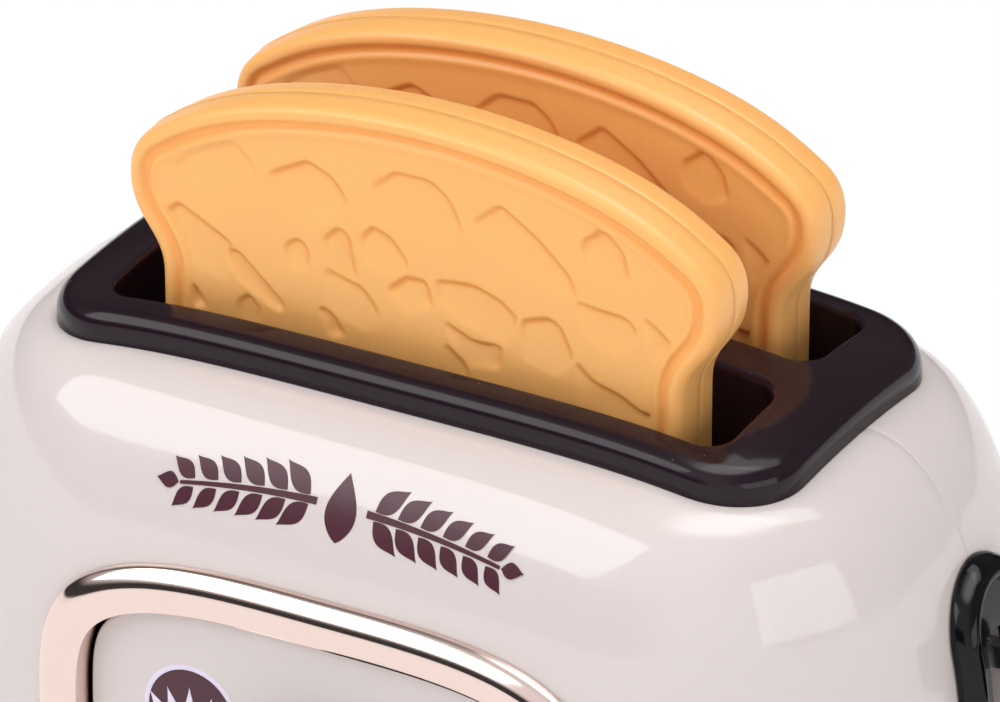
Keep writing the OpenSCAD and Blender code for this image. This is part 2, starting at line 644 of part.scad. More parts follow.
module cam_gear() color("ivory") place() translate([cam_at[0], cam_at[1], 0]) difference() {
    union() {
        translate([0, 0, gear_z]) linear_extrude(gear_t) polygon(gear_points(cam_n, 180));
        translate([0, 0, gear_z]) cylinder(r = 4, h = cam_z + 1 - gear_z);
        translate([0, 0, cam_z]) cylinder(r = 8, h = cam_t);
        rotate(60) translate([0, lobe_r - 3, cam_z]) cylinder(r = 3, h = cam_t);
        rotate(60) translate([-3, 0, cam_z]) cube([6, lobe_r - 3, cam_t]);
    }
    translate([0, 0, gear_z - 1]) cylinder(r = axle_r + run, h = cam_z + cam_t);
}

module cam_axle() color(steel) place() translate([cam_at[0], cam_at[1], floor_z])
    cylinder(r = axle_r, h = cam_z + cam_t + 0.6 - floor_z);

// ---------------------------------------------------------------- electrics

module circuit_board() color("seagreen") place() {
    difference() {
        box([board_x[0], board_y, board_z[0]], [board_x[1], board_y + board_t, board_z[1]]);
        for (x = board_x, z = board_z) translate([mix(x, board_x), 0, mix(z, board_z)])
            along_y(1.2, board_y - 1, board_y + 3);
    }
    translate([board_x[0], board_y, board_z[0]]) {
        box([50, -2, 22], [60, 0, 40]);
        box([8, -1.6, 12], [18, 0, 22]);
        translate([12, 0, 34]) along_y(3.2, -7, 0);
    }
}

module board_screws() color(steel) place() for (x = board_x, z = board_z)
    translate([mix(x, board_x), 0, mix(z, board_z)]) {
        along_y(2, board_y - 1.6, board_y);
        along_y(1, board_y, board_y + board_t + 4);
    }

module speaker() color(black) place() translate([speaker_at[0], speaker_at[1], floor_z + seat])
    rotate_extrude() polygon([[0, 0.6], [speaker_r - 3, 0.6], [speaker_r - 2, 0], [speaker_r, 0],
        [speaker_r, 2], [speaker_r - 2, 2.4], [8, 4.5], [8, 8], [0, 8]]);

module power_switch() color(black) place() translate([switch_at[0], switch_at[1], 0]) difference() {
    box([-8, -3.4, floor_z + 0.1], [8, 3.4, floor_z + 6]);
    box([-7, -2.3, floor_z - 1], [7, 2.3, floor_z + 1.5]);
}

module power_slider() color("orangered") place() translate([switch_at[0] - 4, switch_at[1], 0]) {
    box([-2, -2, floor_z + 0.2], [6, 2, floor_z + 1.2]);
    box([0, -1.3, foot_h - 1.4], [4, 1.3, floor_z + 0.4]);
}

module start_switch() color(black) place() {
    box([rod_x - 4, mid_y - 4, floor_z + seat], [rod_x + 4, mid_y + 4, floor_z + 11]);
    translate([rod_x - 3, mid_y - 1.5, floor_z + 11]) cube([6, 3, rack_z - travel - 6 - seat - floor_z - 11]);
}

cell_y = [-1, 0, 1] * (cell_d + 1);
cell_z = floor_z + cell_d / 2 + 0.2;
module batteries() color("goldenrod") place() for (y = cell_y)
    translate([(bay_x[0] + bay_x[1]) / 2, y, cell_z]) {
        along_x(cell_d / 2, -cell_l / 2, cell_l / 2 - 1.5);
        along_x(2.7, cell_l / 2 - 1.5, cell_l / 2);
    }

module battery_contacts() color(steel) place() for (y = cell_y) translate([0, y, cell_z]) {
    box([bay_x[0] + 0.1, -5, -5], [bay_x[0] + 0.6, 5, 5]);
    along_x(3.5, bay_x[0] + 0.6, (bay_x[0] + bay_x[1] - cell_l) / 2 - 0.1);
    box([bay_x[1] - 0.6, -5, -5], [bay_x[1] - 0.1, 5, 5]);
    along_x(2, (bay_x[0] + bay_x[1] + cell_l) / 2 + 0.1, bay_x[1] - 0.6);
}

// ---------------------------------------------------------------- base

// Hexagonal field of small holes
module grille(r, pitch, rows) for (i = [-rows:rows], j = [-rows:rows]) {
    p = [pitch * (i + j / 2), pitch * j * sin(60)];
    if (norm(p) < r) translate(p) circle(1.2, $fn = 24);
}

module base_plate() color(umber) place() difference() {
    union() {
        difference() {
            union() {
                translate([0, 0, foot_h]) tub(base_hx - 0.5, base_hy - 0.5, base_r - 0.5, rim_z - seat - foot_h);
                translate([0, 0, foot_h])
                    tub(base_hx - shell_t - seat, base_hy - shell_t - seat, base_r - shell_t - seat, rim_z + 4 - foot_h);
            }
            translate([0, 0, floor_z]) tub(base_hx - shell_t - 2, base_hy - shell_t - 2, base_r - shell_t - 2, rim_z);
        }
        // battery bay
        box([bay_x[0] - bay_t, -bay_hy - bay_t, floor_z - 1], [bay_x[1] + bay_t, bay_hy + bay_t, floor_z + bay_h + bay_t]);
        box([door_x[0] - ledge, -door_hy - ledge, floor_z - 1], [door_x[1] + ledge, door_hy + ledge, floor_z + 1.6]);
        translate([door_screw_x, 0, floor_z - 1]) cylinder(r = 3, h = 9);
        // seats of the guide rods
        for (y = rod_y) translate([rod_x, y, floor_z - 1]) cylinder(r = 4.5, h = boss_z - floor_z + 1);
        // ears of the latch pin
        for (x = ear_x) box([x, pin_y - 3.4, floor_z - 1], [x + ear_t, pin_y + 3.4, pin_z + 3]);
        // boss of the cam's axle and cheeks of the motor
        translate([cam_at[0], cam_at[1], floor_z - 1]) cylinder(r = 4, h = gear_z - seat - floor_z + 1);
        for (s = [-1, 1]) translate([motor_at[0] - 6, motor_at[1] + s * 6.2 - 1, floor_z - 1]) cube([7, 2, 10]);
        for (x = [-1, 1] * base_screw_at[0], y = [-1, 1] * base_screw_at[1])
            translate([x, y, foot_h + 0.5]) cylinder(r = 5, h = boss_z - foot_h - 0.5);
    }
    box([bay_x[0], -bay_hy, 0], [bay_x[1], bay_hy, floor_z + bay_h]);
    box([door_x[0], -door_hy, 0], [door_x[1], door_hy, floor_z]);
    translate([door_screw_x, 0, 0]) cylinder(r = 1.2, h = floor_z + 7);
    for (y = rod_y) translate([rod_x, y, boss_z - 2.8]) cylinder(r = rod_r, h = 9);
    translate([0, pin_y, pin_z]) along_x(pin_r, ear_x[0] - 1, ear_x[1] + ear_t + 1);
    translate([cam_at[0], cam_at[1], floor_z]) cylinder(r = axle_r, h = 30);
    translate([speaker_at[0], speaker_at[1], 0]) linear_extrude(20) grille(speaker_r - 3.5, 4.2, 4);
    box([switch_at[0] - 4.5, switch_at[1] - 1.6, 0], [switch_at[0] + 4.5, switch_at[1] + 1.6, floor_z + 1]);
    for (x = [-1, 1] * base_screw_at[0], y = [-1, 1] * base_screw_at[1]) translate([x, y, 0]) {
        cylinder(r = hole_r, h = 30);
        cylinder(r = head_r + 0.3, h = foot_h + head_h + 0.6);
        translate([0, 0, boss_z]) cylinder(r = post_r + seat, h = 30);
    }
}

module battery_door() color(umber) place() difference() {
    box([door_x[0] + seat, -door_hy + seat, foot_h], [door_x[1] - seat, door_hy - seat, floor_z - 0.2]);
    translate([door_screw_x, 0, 0]) cylinder(r = hole_r, h = 30);
    for (i = [0:2], x = bay_x[0] + 5.5 + 4 * i) box([x, -9, 0], [x + 1.6, 9, foot_h + 0.6]);
}

module door_screw() color(steel) place() translate([door_screw_x, 0, foot_h - 1.2]) {
    cylinder(r = 2.8, h = 1.2);
    cylinder(r = 1.2, h = 9);
}

module shell_screws() color(steel) place() for (x = [-1, 1] * shell_screw_x, z = shell_screw_z)
    translate([x, 0, z]) {
        along_y(head_r, mid_y + 6, mid_y + 6 + head_h);
        along_y(thread_r, mid_y - 9, mid_y + 6);
    }

module base_screws() color(steel) place()
    for (x = [-1, 1] * base_screw_at[0], y = [-1, 1] * base_screw_at[1]) translate([x, y, foot_h + 0.6]) {
        cylinder(r = head_r, h = head_h);
        cylinder(r = thread_r, h = 14);
    }

module feet() color([0.2, 0.18, 0.18]) place()
    for (x = [-1, 1] * foot_at[0], y = [-1, 1] * foot_at[1]) translate([x, y, 0]) rotate_extrude()
        polygon([[0, 0], [foot_r - 0.8, 0], [foot_r, 0.8], [foot_r, foot_h], [0, foot_h]]);

// ---------------------------------------------------------------- the assembly

front_shell();
rear_shell();
top_bezel();
base_plate();
front_ring();
front_panel();
timer_dial();
dial_switch();
lever_housing();
lever_knob();
lever_arm();
carriage();
guide_rods();
return_springs();
toast_chamber();
front_slice_face();
front_slice_back();
rear_slice_face();
rear_slice_back();
latch_rocker();
latch_pin();
latch_spring();
timer_motor();
motor_pinion();
cam_gear();
cam_axle();
circuit_board();
board_screws();
speaker();
glow_lamps();
power_switch();
power_slider();
start_switch();
batteries();
battery_contacts();
battery_door();
door_screw();
shell_screws();
base_screws();
feet();
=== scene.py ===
import math

import bmesh
import bpy
import numpy as np
from bpy.props import FloatProperty, FloatVectorProperty, IntProperty, PointerProperty
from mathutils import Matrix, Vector
from mathutils.geometry import delaunay_2d_cdt


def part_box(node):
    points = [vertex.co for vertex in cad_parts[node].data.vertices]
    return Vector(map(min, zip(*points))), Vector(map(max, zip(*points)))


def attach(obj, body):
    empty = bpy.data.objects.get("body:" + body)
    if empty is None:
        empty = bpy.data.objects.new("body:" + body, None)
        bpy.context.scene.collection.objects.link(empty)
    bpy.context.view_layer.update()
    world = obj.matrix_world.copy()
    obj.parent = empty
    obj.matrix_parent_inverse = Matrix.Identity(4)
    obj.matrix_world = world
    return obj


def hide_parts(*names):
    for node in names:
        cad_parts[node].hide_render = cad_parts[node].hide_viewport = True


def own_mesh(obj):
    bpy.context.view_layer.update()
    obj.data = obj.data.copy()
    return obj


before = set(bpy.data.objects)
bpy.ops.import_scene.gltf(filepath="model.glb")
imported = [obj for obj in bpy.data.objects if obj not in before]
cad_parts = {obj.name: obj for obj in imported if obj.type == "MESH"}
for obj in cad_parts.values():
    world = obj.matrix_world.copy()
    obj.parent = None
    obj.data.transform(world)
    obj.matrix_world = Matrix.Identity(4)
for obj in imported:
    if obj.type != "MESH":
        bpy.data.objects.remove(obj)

bl_info = {
    "name": "Toy Toaster",
    "version": (1, 0, 0),
    "blender": (4, 5, 0),
    "location": "3D View > Sidebar > Toaster",
    "description": "Dresses the toy toaster's frame in its shells, slices, trim and finishes",
    "category": "Object",
}

MM = 0.001
LOW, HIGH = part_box("top_bezel")
CENTRE = ((LOW.x + HIGH.x) / 2, (LOW.y + HIGH.y) / 2)
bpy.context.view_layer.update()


# ------------------------------------------------------------------ sizes and colours

def length(name, default, about):
    return FloatProperty(name=name, description=about, default=default, min=-1.0, max=4.0,
                         precision=5, subtype="DISTANCE", unit="LENGTH")


def colour(name, default, about):
    return FloatVectorProperty(name=name, description=about, default=default, size=3,
                               min=0.0, max=1.0, subtype="COLOR_GAMMA")


def amount(name, default, about):
    return FloatProperty(name=name, description=about, default=default, min=0.0, max=10.0)


class BodySizes(bpy.types.PropertyGroup):
    """Sizes of the two shells"""
    crown: length("Crown height", 0.130, "Height of the bezel's crown above the floor")
    half_length: length("Half length", 0.093, "Half the body's length at its belt")
    half_depth: length("Half depth", 0.055, "Half the body's depth at its belt")
    belt_radius: length("Belt radius", 0.051, "Corner radius of the belt from above")
    belt_drop: length("Belt drop", 0.0634, "How far the belt lies below the crown")
    foot_inset: length("Foot inset", 0.008, "How far the body draws in towards its foot")
    rim: length("Rim height", 0.010, "Height of the shells' lower rim")
    wall: length("Wall", 0.0022, "Wall of the shells")
    parting: length("Parting", 0.0025, "Where the shells part, behind the bezel's middle")


class BezelSizes(bpy.types.PropertyGroup):
    """Sizes of the two-slot top"""
    half_length: length("Half length", 0.0683, "Half the bezel's length")
    half_depth: length("Half depth", 0.0327, "Half the bezel's depth")
    radius: length("Corner radius", 0.014, "Corner radius of the bezel")
    height: length("Height", 0.0052, "Height of its edge above the shells")
    shoulder: length("Shoulder", 0.003, "Rounding of the outer shoulder")
    lip: length("Lip", 0.0013, "Rounding of the slots' lips")
    end_drop: length("End drop", 0.0045, "Drop of the crown towards the ends")
    side_drop: length("Side drop", 0.0026, "Drop of the crown towards the long sides")
    slot_half: length("Slot half length", 0.0568, "Half the length of a slot")
    slot_width: length("Slot width", 0.0213, "Width of a slot")
    slot_offset: length("Slot offset", 0.01535, "Distance of a slot from the middle")
    slot_radius: length("Slot radius", 0.0048, "Corner radius of a slot")


class SliceSizes(bpy.types.PropertyGroup):
    """Sizes of a toy slice"""
    thickness: length("Thickness", 0.0122, "Thickness of a slice")
    offset: length("Offset", 0.0166, "Distance of a slice's middle from the bezel's middle")
    neck: length("Neck", 0.0483, "Half width below the crust")
    wide: length("Crust", 0.0545, "Half width at the crust")
    stands: length("Stands above", 0.0381, "How far a slice stands above the crown")
    fall: length("Fall", 0.0167, "Fall of a slice's top towards its corners")
    pit_depth: length("Pit depth", 0.00095, "Depth of the crumb's pits")
    grain: length("Grain", 0.00058, "Spacing of the crumb's mesh")


class TrimSizes(bpy.types.PropertyGroup):
    """Sizes of the ring, the panel, the dial and the lever"""
    ring_half: length("Ring half width", 0.0531, "Half the ring's width")
    ring_rise: length("Ring half height", 0.0322, "Half the ring's height")
    ring_middle: length("Ring middle", 0.064, "Height of the ring's middle above the floor")
    ring_metal: length("Ring metal", 0.0079, "Width of the ring's metal from the front")
    ring_bead: length("Ring bead", 0.0026, "How far the ring's bead stands proud")
    dial_radius: length("Dial radius", 0.013, "Radius of the timer dial")
    housing_half: length("Housing half width", 0.0119, "Half the width of the lever's housing")
    housing_rise: length("Housing half height", 0.034, "Half the height of the housing")
    housing_middle: length("Housing middle", 0.068, "Height of the housing's middle")
    housing_proud: length("Housing rim", 0.0043, "How far the housing's rim stands proud")
    flutes: IntProperty(name="Flutes", description="Grip flutes round the dial", default=24, min=6)


class Colours(bpy.types.PropertyGroup):
    """Colours of the finishes, as seen"""
    cream: colour("Cream", (0.842, 0.800, 0.786), "Shells and panel")
    umber: colour("Umber", (0.135, 0.085, 0.115), "Bezel, base and dial")
    toast: colour("Toast", (1.0, 0.725, 0.42), "Slices")
    # Crumb: the colour of the painted shade in the crumb's creases and in the rim's groove
    crumb: colour("Crumb", (1.0, 0.62, 0.24), "Deeper places of the slices")
    rose: colour("Rose", (0.95, 0.865, 0.835), "Ring's plating")
    print: colour("Print", (0.29, 0.115, 0.175), "Printed ornament")
    black: colour("Black", (0.045, 0.040, 0.050), "Lever and its housing")
    floor: colour("Floor", (0.97, 0.97, 0.97), "Floor")


class StudioSizes(bpy.types.PropertyGroup):
    """Places and strengths of the camera and the lamps"""
    azimuth: FloatProperty(name="Azimuth", description="Camera's turn about the object", default=29.588)
    elevation: FloatProperty(name="Elevation", description="Camera's height angle", default=26.907)
    lens: FloatProperty(name="Lens", description="Focal length in millimetres", default=307.5, min=1.0)
    key: amount("Key", 1.0, "Strength of the long softbox over the front")
    side: amount("Side", 1.0, "Strength of the square softbox at the lever's end")
    sky: amount("Sky", 1.0, "Strength of the room's soft light")


GROUPS = {"toaster_body": BodySizes, "toaster_bezel": BezelSizes, "toaster_slice": SliceSizes,
          "toaster_trim": TrimSizes, "toaster_colours": Colours, "toaster_studio": StudioSizes}


def sizes(name):
    return getattr(bpy.context.scene, "toaster_" + name)


def linear(rgb):
    return tuple(c / 12.92 if c <= 0.04045 else ((c + 0.055) / 1.055) ** 2.4 for c in rgb)


# ------------------------------------------------------------------ curves and surfaces

def smoothed(line, middle=2, times=1):
    """A closed line, each point drawn towards its neighbours"""
    for _ in range(times):
        line = (np.roll(line, 1, 0) + middle * line + np.roll(line, -1, 0)) / (middle + 2)
    return line


def rounded_path(half_x, half_y, radius, steps=(22, 44, 8), ease=0.08):
    """Points round a rounded rectangle, counter-clockwise, with corners eased into the sides"""
    parts = [math.pi * radius / 2, 2 * (half_x - radius), math.pi * radius / 2, 2 * (half_y - radius)] * 2
    ends = np.concatenate([[0], np.cumsum(parts)])
    counts = [steps[0], steps[1], steps[0], steps[2]] * 2
    where = np.concatenate([np.linspace(ends[i], ends[i + 1], counts[i], endpoint=False)
                            for i in range(8)])

    def at(run):
        run = run % ends[-1]
        out = np.zeros((len(run), 2))
        for i in range(8):
            pick = (run >= ends[i]) & (run < ends[i + 1] + 1e-12)
            along = run[pick] - ends[i]
            corner = i // 2
            sx, sy = [(1, 1), (-1, 1), (-1, -1), (1, -1)][corner]
            cx, cy = sx * (half_x - radius), sy * (half_y - radius)
            if i % 2 == 0:
                a = math.pi / 2 * corner + along / radius
                out[pick] = np.stack([cx + radius * np.cos(a), cy + radius * np.sin(a)], 1)
            else:
                a = math.pi / 2 * (corner + 1)
                start = np.array([cx + radius * math.cos(a), cy + radius * math.sin(a)])
                out[pick] = start + along[:, None] * np.array([-math.sin(a), math.cos(a)])
        return out

    if ease <= 0:
        return at(where)
    total_weight, result = 0.0, 0.0
    for k in np.linspace(-2, 2, 9):
        weight = math.exp(-k * k / 2)
        result = result + weight * at(where + k * (ease * radius))
        total_weight += weight
    return result / total_weight


def resample(line, spacing=None, count=None):
    """Even points round a closed line, by their spacing or their count"""
    closed = np.vstack([line, line[:1]])
    run = np.concatenate([[0], np.cumsum(np.linalg.norm(np.diff(closed, axis=0), axis=1))])
    s = np.linspace(0, run[-1], count or int(round(run[-1] / spacing)), endpoint=False)
    return np.stack([np.interp(s, run, closed[:, 0]), np.interp(s, run, closed[:, 1])], 1)


def counter_clockwise(line):
    """A closed line, turned round if it runs clockwise"""
    area = (line[:, 0] * np.roll(line[:, 1], -1) - np.roll(line[:, 0], -1) * line[:, 1]).sum()
    return line[::-1] if area < 0 else line


def circle(radius, count):
    a = np.linspace(0, 2 * math.pi, count, endpoint=False)
    return np.stack([radius * np.cos(a), radius * np.sin(a)], 1)


def upright(plan, y, up=0.0):
    """Points of the plane as points across and up, at a depth"""
    return np.column_stack([plan[:, 0], np.broadcast_to(y, len(plan)), plan[:, 1] + up])


def inwards(line):
    """Unit normals that point into a counter-clockwise closed line"""
    along = np.roll(line, -1, 0) - np.roll(line, 1, 0)
    along /= np.linalg.norm(along, axis=1)[:, None]
    return np.stack([-along[:, 1], along[:, 0]], 1)


def inside(points, line):
    """Which points lie inside a closed line"""
    x, y = points[:, 0][:, None], points[:, 1][:, None]
    ax, ay = line[:, 0][None], line[:, 1][None]
    bx, by = np.roll(line[:, 0], -1)[None], np.roll(line[:, 1], -1)[None]
    crosses = ((ay > y) != (by > y)) & (x < (bx - ax) * (y - ay) / (by - ay + 1e-30) + ax)
    return crosses.sum(1) % 2 == 1


def edge_distance(points, line, pick=None):
    """Distance of points from a closed line, or from some of its edges"""
    a, b = line, np.roll(line, -1, 0)
    if pick is not None:
        a, b = a[pick], b[pick]
    d = b - a
    t = ((points[:, None] - a[None]) * d[None]).sum(2) / (d ** 2).sum(1)[None]
    near = a[None] + np.clip(t, 0, 1)[..., None] * d[None]
    return np.linalg.norm(points[:, None] - near, axis=2).min(1)


def sheet(loops, spare, outline, holes):
    """Triangles over loops and loose points in the plane, kept inside outline and outside holes"""
    points = np.vstack(loops + ([spare] if len(spare) else []))
    edges, start = [], 0
    for loop in loops:
        n = len(loop)
        edges += [(start + i, start + (i + 1) % n) for i in range(n)]
        start += n
    found = delaunay_2d_cdt([Vector(p) for p in points], edges, [], 0, 1e-9)
    origin = {i: o[0] for i, o in enumerate(found[3]) if o}
    if len(origin) < len(found[0]):
        raise RuntimeError("loops cross each other")
    tris = np.array([[origin[i] for i in f] for f in found[2]])
    middle = points[tris].mean(1)
    keep = inside(middle, outline)
    for hole in holes:
        keep &= ~inside(middle, hole)
    tris = tris[keep]
    a, b, c = (points[tris[:, i]] for i in range(3))
    turn = (b[:, 0] - a[:, 0]) * (c[:, 1] - a[:, 1]) - (b[:, 1] - a[:, 1]) * (c[:, 0] - a[:, 0])
    tris[turn < 0] = tris[turn < 0][:, ::-1]
    return points, tris[np.abs(turn) > 1e-16].tolist()


def hexes(low, high, step):
    """A field of points in close rows"""
    rows = int((high[1] - low[1]) / (step * 0.866)) + 1
    columns = int((high[0] - low[0]) / step) + 1
    return np.array([(low[0] + (i + (j % 2) / 2) * step, low[1] + j * step * 0.866)
                     for j in range(rows) for i in range(columns)])


def strip(first, second, n):
    """Faces between two rings of n points that start at these indices"""
    return [(first + i, first + (i + 1) % n, second + (i + 1) % n, second + i) for i in range(n)]


def tube(rings, closed=True):
    """Vertices and faces of rings joined one after another, and the last to the first"""
    m, n = len(rings), len(rings[0])
    faces = []
    for i in range(m if closed else m - 1):
        faces += strip(i * n, ((i + 1) % m) * n, n)
    return np.vstack(rings), faces


def capped(rings):
    """A closed solid through rings, with a flat face at each end"""
    points, faces = tube(rings, closed=False)
    n, m = len(rings[0]), len(rings)
    faces.append(tuple(range(n))[::-1])
    faces.append(tuple((m - 1) * n + i for i in range(n)))
    return points, faces


def placed(points):
    """Body-centred points in the frame"""
    return np.asarray(points, float) + np.array([CENTRE[0], CENTRE[1], 0.0])


def shown(name, mesh):
    """An object with this mesh, linked to the scene"""
    made = bpy.data.objects.new(name, mesh)
    bpy.context.scene.collection.objects.link(made)
    return made


def edited(mesh, *steps):
    """Runs steps on a mesh, each a function of its bmesh"""
    bm = bmesh.new()
    bm.from_mesh(mesh)
    for step in steps:
        step(bm)
    bm.to_mesh(mesh)
    bm.free()


def face_outwards(bm):
    bmesh.ops.recalc_face_normals(bm, faces=bm.faces)


def make_mesh(name, points, faces, centred=True, recalc=True):
    """A mesh object at the origin, its faces pointing outwards"""
    mesh = bpy.data.meshes.new(name)
    mesh.from_pydata((placed(points) if centred else np.asarray(points)).tolist(), [], faces)
    if recalc:
        edited(mesh, face_outwards)
    mesh.update()
    return shown(name, mesh)


def evaluated(made):
    """Turns a mesh object with its modifiers into a plain one"""
    graph = bpy.context.evaluated_depsgraph_get()
    mesh = bpy.data.meshes.new_from_object(made.evaluated_get(graph), depsgraph=graph)
    old = made.data
    made.modifiers.clear()
    made.data = mesh
    mesh.name = made.name
    if old.users == 0:
        bpy.data.meshes.remove(old)
    return made


def used_up(*tools):
    for tool in tools:
        mesh = tool.data
        bpy.data.objects.remove(tool)
        bpy.data.meshes.remove(mesh)


def carve(made, tool, way="DIFFERENCE"):
    """Cuts, joins or trims a closed mesh with another, which is used up"""
    cut = made.modifiers.new("carve", "BOOLEAN")
    cut.object, cut.operation, cut.solver = tool, way, "MANIFOLD"
    evaluated(made)
    used_up(tool)
    if not made.data.polygons:
        raise RuntimeError(f"{made.name} was lost in a cut")
    return made


def block(low, high):
    """A closed box used as a cutting tool"""
    corners = [(x, y, z) for z in (low[2], high[2]) for x, y in
               ((low[0], low[1]), (high[0], low[1]), (high[0], high[1]), (low[0], high[1]))]
    return make_mesh("cutter", *capped([np.array(corners[:4]), np.array(corners[4:])]))


def rod_y(x, z, radius, y0, y1, count=40):
    """A closed cylinder along Y used as a tool"""
    return make_mesh("cutter", *capped([upright(circle(radius, count) + (x, z), y) for y in (y0, y1)]))


def joined(name, parts):
    """Several meshes as one object"""
    bm = bmesh.new()
    for part in parts:
        bm.from_mesh(part.data)
    mesh = bpy.data.meshes.new(name)
    bm.to_mesh(mesh)
    bm.free()
    used_up(*parts)
    return shown(name, mesh)


def finish(made, material, body, slot, *nodes, angle=32.0, name=None):
    """Gives a piece a finish by name, its body, and the nodes that it stands for; its material slot is not
    used
    """
    if name:
        made.name = name
    made.data.materials.clear()
    made.data.materials.append(finish_named(material))
    made.data.shade_smooth()
    if angle < 180:
        made.data.set_sharp_from_angle(angle=math.radians(angle))
    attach(made, body)
    if nodes:
        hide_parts(*nodes)
    return made


# ------------------------------------------------------------------ the body's surface

RIM_GAP = 0.3 * MM              # crevice between the bezel and the shells
PANEL_SINK = 3 * MM             # panel's face behind the shell's front


def fall(plan):
    """Drop of the crown towards its ends and sides"""
    z = sizes("bezel")
    across, deep = plan[..., 0] / z.half_length, plan[..., 1] / z.half_depth
    return z.end_drop * across ** 4 + z.side_drop * deep ** 2


def opening():
    """Half length, half depth and corner radius of the shells' opening"""
    z = sizes("bezel")
    return z.half_length + RIM_GAP, z.half_depth + RIM_GAP, z.radius + RIM_GAP


def dome_ring(turn, inset):
    """A ring of the upper body: turn is 0 at the bezel and a right angle at the belt"""
    b, z = sizes("body"), sizes("bezel")
    top = rounded_path(*[v - inset / 2 for v in opening()])
    belt = rounded_path(b.half_length - inset, b.half_depth - inset, b.belt_radius - inset)
    edge = b.crown - fall(top) - z.height - inset
    middle = b.crown - b.belt_drop
    plan = top + (belt - top) * math.sin(turn)
    return np.column_stack([plan, middle + (edge - middle) * math.cos(turn)])


def foot_ring(share, inset):
    """A ring of the lower body: share is 0 at the belt and 1 at the rim"""
    b = sizes("body")
    draw = b.foot_inset * share ** 2 + inset
    plan = rounded_path(b.half_length - draw, b.half_depth - draw, b.belt_radius - draw)
    middle = b.crown - b.belt_drop
    return np.column_stack([plan, np.full(len(plan), middle - (middle - b.rim) * share)])


def level(height, top_drop):
    """Half length, half depth and corner radius of the body at a height"""
    b, z = sizes("body"), sizes("bezel")
    middle, top = b.crown - b.belt_drop, b.crown - top_drop - z.height
    belt = np.array([b.half_length, b.half_depth, b.belt_radius])
    up = np.clip((height - middle) / (top - middle), 0, 1)
    out = np.sqrt(1 - up ** 2)[..., None]
    upper = np.array(opening()) + (belt - np.array(opening())) * out
    down = np.clip((middle - height) / (middle - b.rim), 0, 1.2)[..., None]
    return np.where((height >= middle)[..., None], upper, belt - b.foot_inset * down ** 2)


def reach(across, far, wide, radius):
    """How far a rounded rectangle reaches at a distance across its middle"""
    corner = np.maximum(0, np.abs(across) - (wide - radius))
    return far - radius + np.sqrt(np.maximum(radius ** 2 - corner ** 2, 0))


def front_y(x, height):
    """Distance of the front surface from the middle plane"""
    x, height = np.asarray(x, float), np.asarray(height, float)
    v = level(height, sizes("bezel").side_drop)
    return reach(x, v[..., 1], v[..., 0], v[..., 2])


def end_x(y, height):
    """Distance of the end surface from the middle plane"""
    y, height = np.asarray(y, float), np.asarray(height, float)
    v = level(height, sizes("bezel").end_drop)
    return reach(y, v[..., 0], v[..., 1], v[..., 2])


def panel_face():
    """Distance of the panel's face from the middle plane"""
    return float(front_y(0.0, sizes("trim").ring_middle)) - PANEL_SINK


# ------------------------------------------------------------------ node helpers

def once(store, name):
    """Makes a builder give what is already there under its name"""
    def wrap(build):
        return lambda: getattr(bpy.data, store).get(name) or build(name)
    return wrap


def wire(tree, start, end):
    tree.links.new(start, end)


def node(tree, kind, settings=None, **inputs):
    """A node with its settings, and its inputs, by name or i and number, as values or links"""
    made = tree.nodes.new(kind)
    for key, value in (settings or {}).items():
        setattr(made, key, value)
    for key, value in inputs.items():
        number = key[0] == "i" and key[1:].isdigit()
        socket = made.inputs[int(key[1:]) if number else key.replace("_", " ")]
        if isinstance(value, bpy.types.NodeSocket):
            wire(tree, value, socket)
        else:
            socket.default_value = value
    return made


def numbered(values):
    return {f"i{k}": value for k, value in enumerate(values)}


def maths(tree, way, *values, **settings):
    return node(tree, "ShaderNodeMath", {"operation": way, **settings}, **numbered(values)).outputs[0]


def vectors(tree, way, *values, **inputs):
    return node(tree, "ShaderNodeVectorMath", {"operation": way}, **numbered(values), **inputs).outputs[0]


def spanned(tree, value, ends, out=(0.0, 1.0), **settings):
    """A value mapped from the span between two ends to another span"""
    return node(tree, "ShaderNodeMapRange", settings, **numbered((value, *ends, *out))).outputs[0]


def mixed(tree, share, first, second):
    """Two colours mixed by a share of the second"""
    return node(tree, "ShaderNodeMix", {"data_type": "RGBA"}, i0=share, i6=first, i7=second).outputs[2]


def noise(tree, **inputs):
    return node(tree, "ShaderNodeTexNoise", **inputs).outputs["Fac"]


def xyz(tree, **parts):
    return node(tree, "ShaderNodeCombineXYZ", **parts).outputs[0]


def material_tree(name, base):
    """A material with its tree and its shader"""
    material = bpy.data.materials.new(name)
    material.use_nodes = True
    material.diffuse_color = (*base, 1)
    return material, material.node_tree, material.node_tree.nodes["Principled BSDF"]


def given_shader(shader, **values):
    for key, value in values.items():
        shader.inputs[key.replace("_", " ")].default_value = value


# ------------------------------------------------------------------ finishes

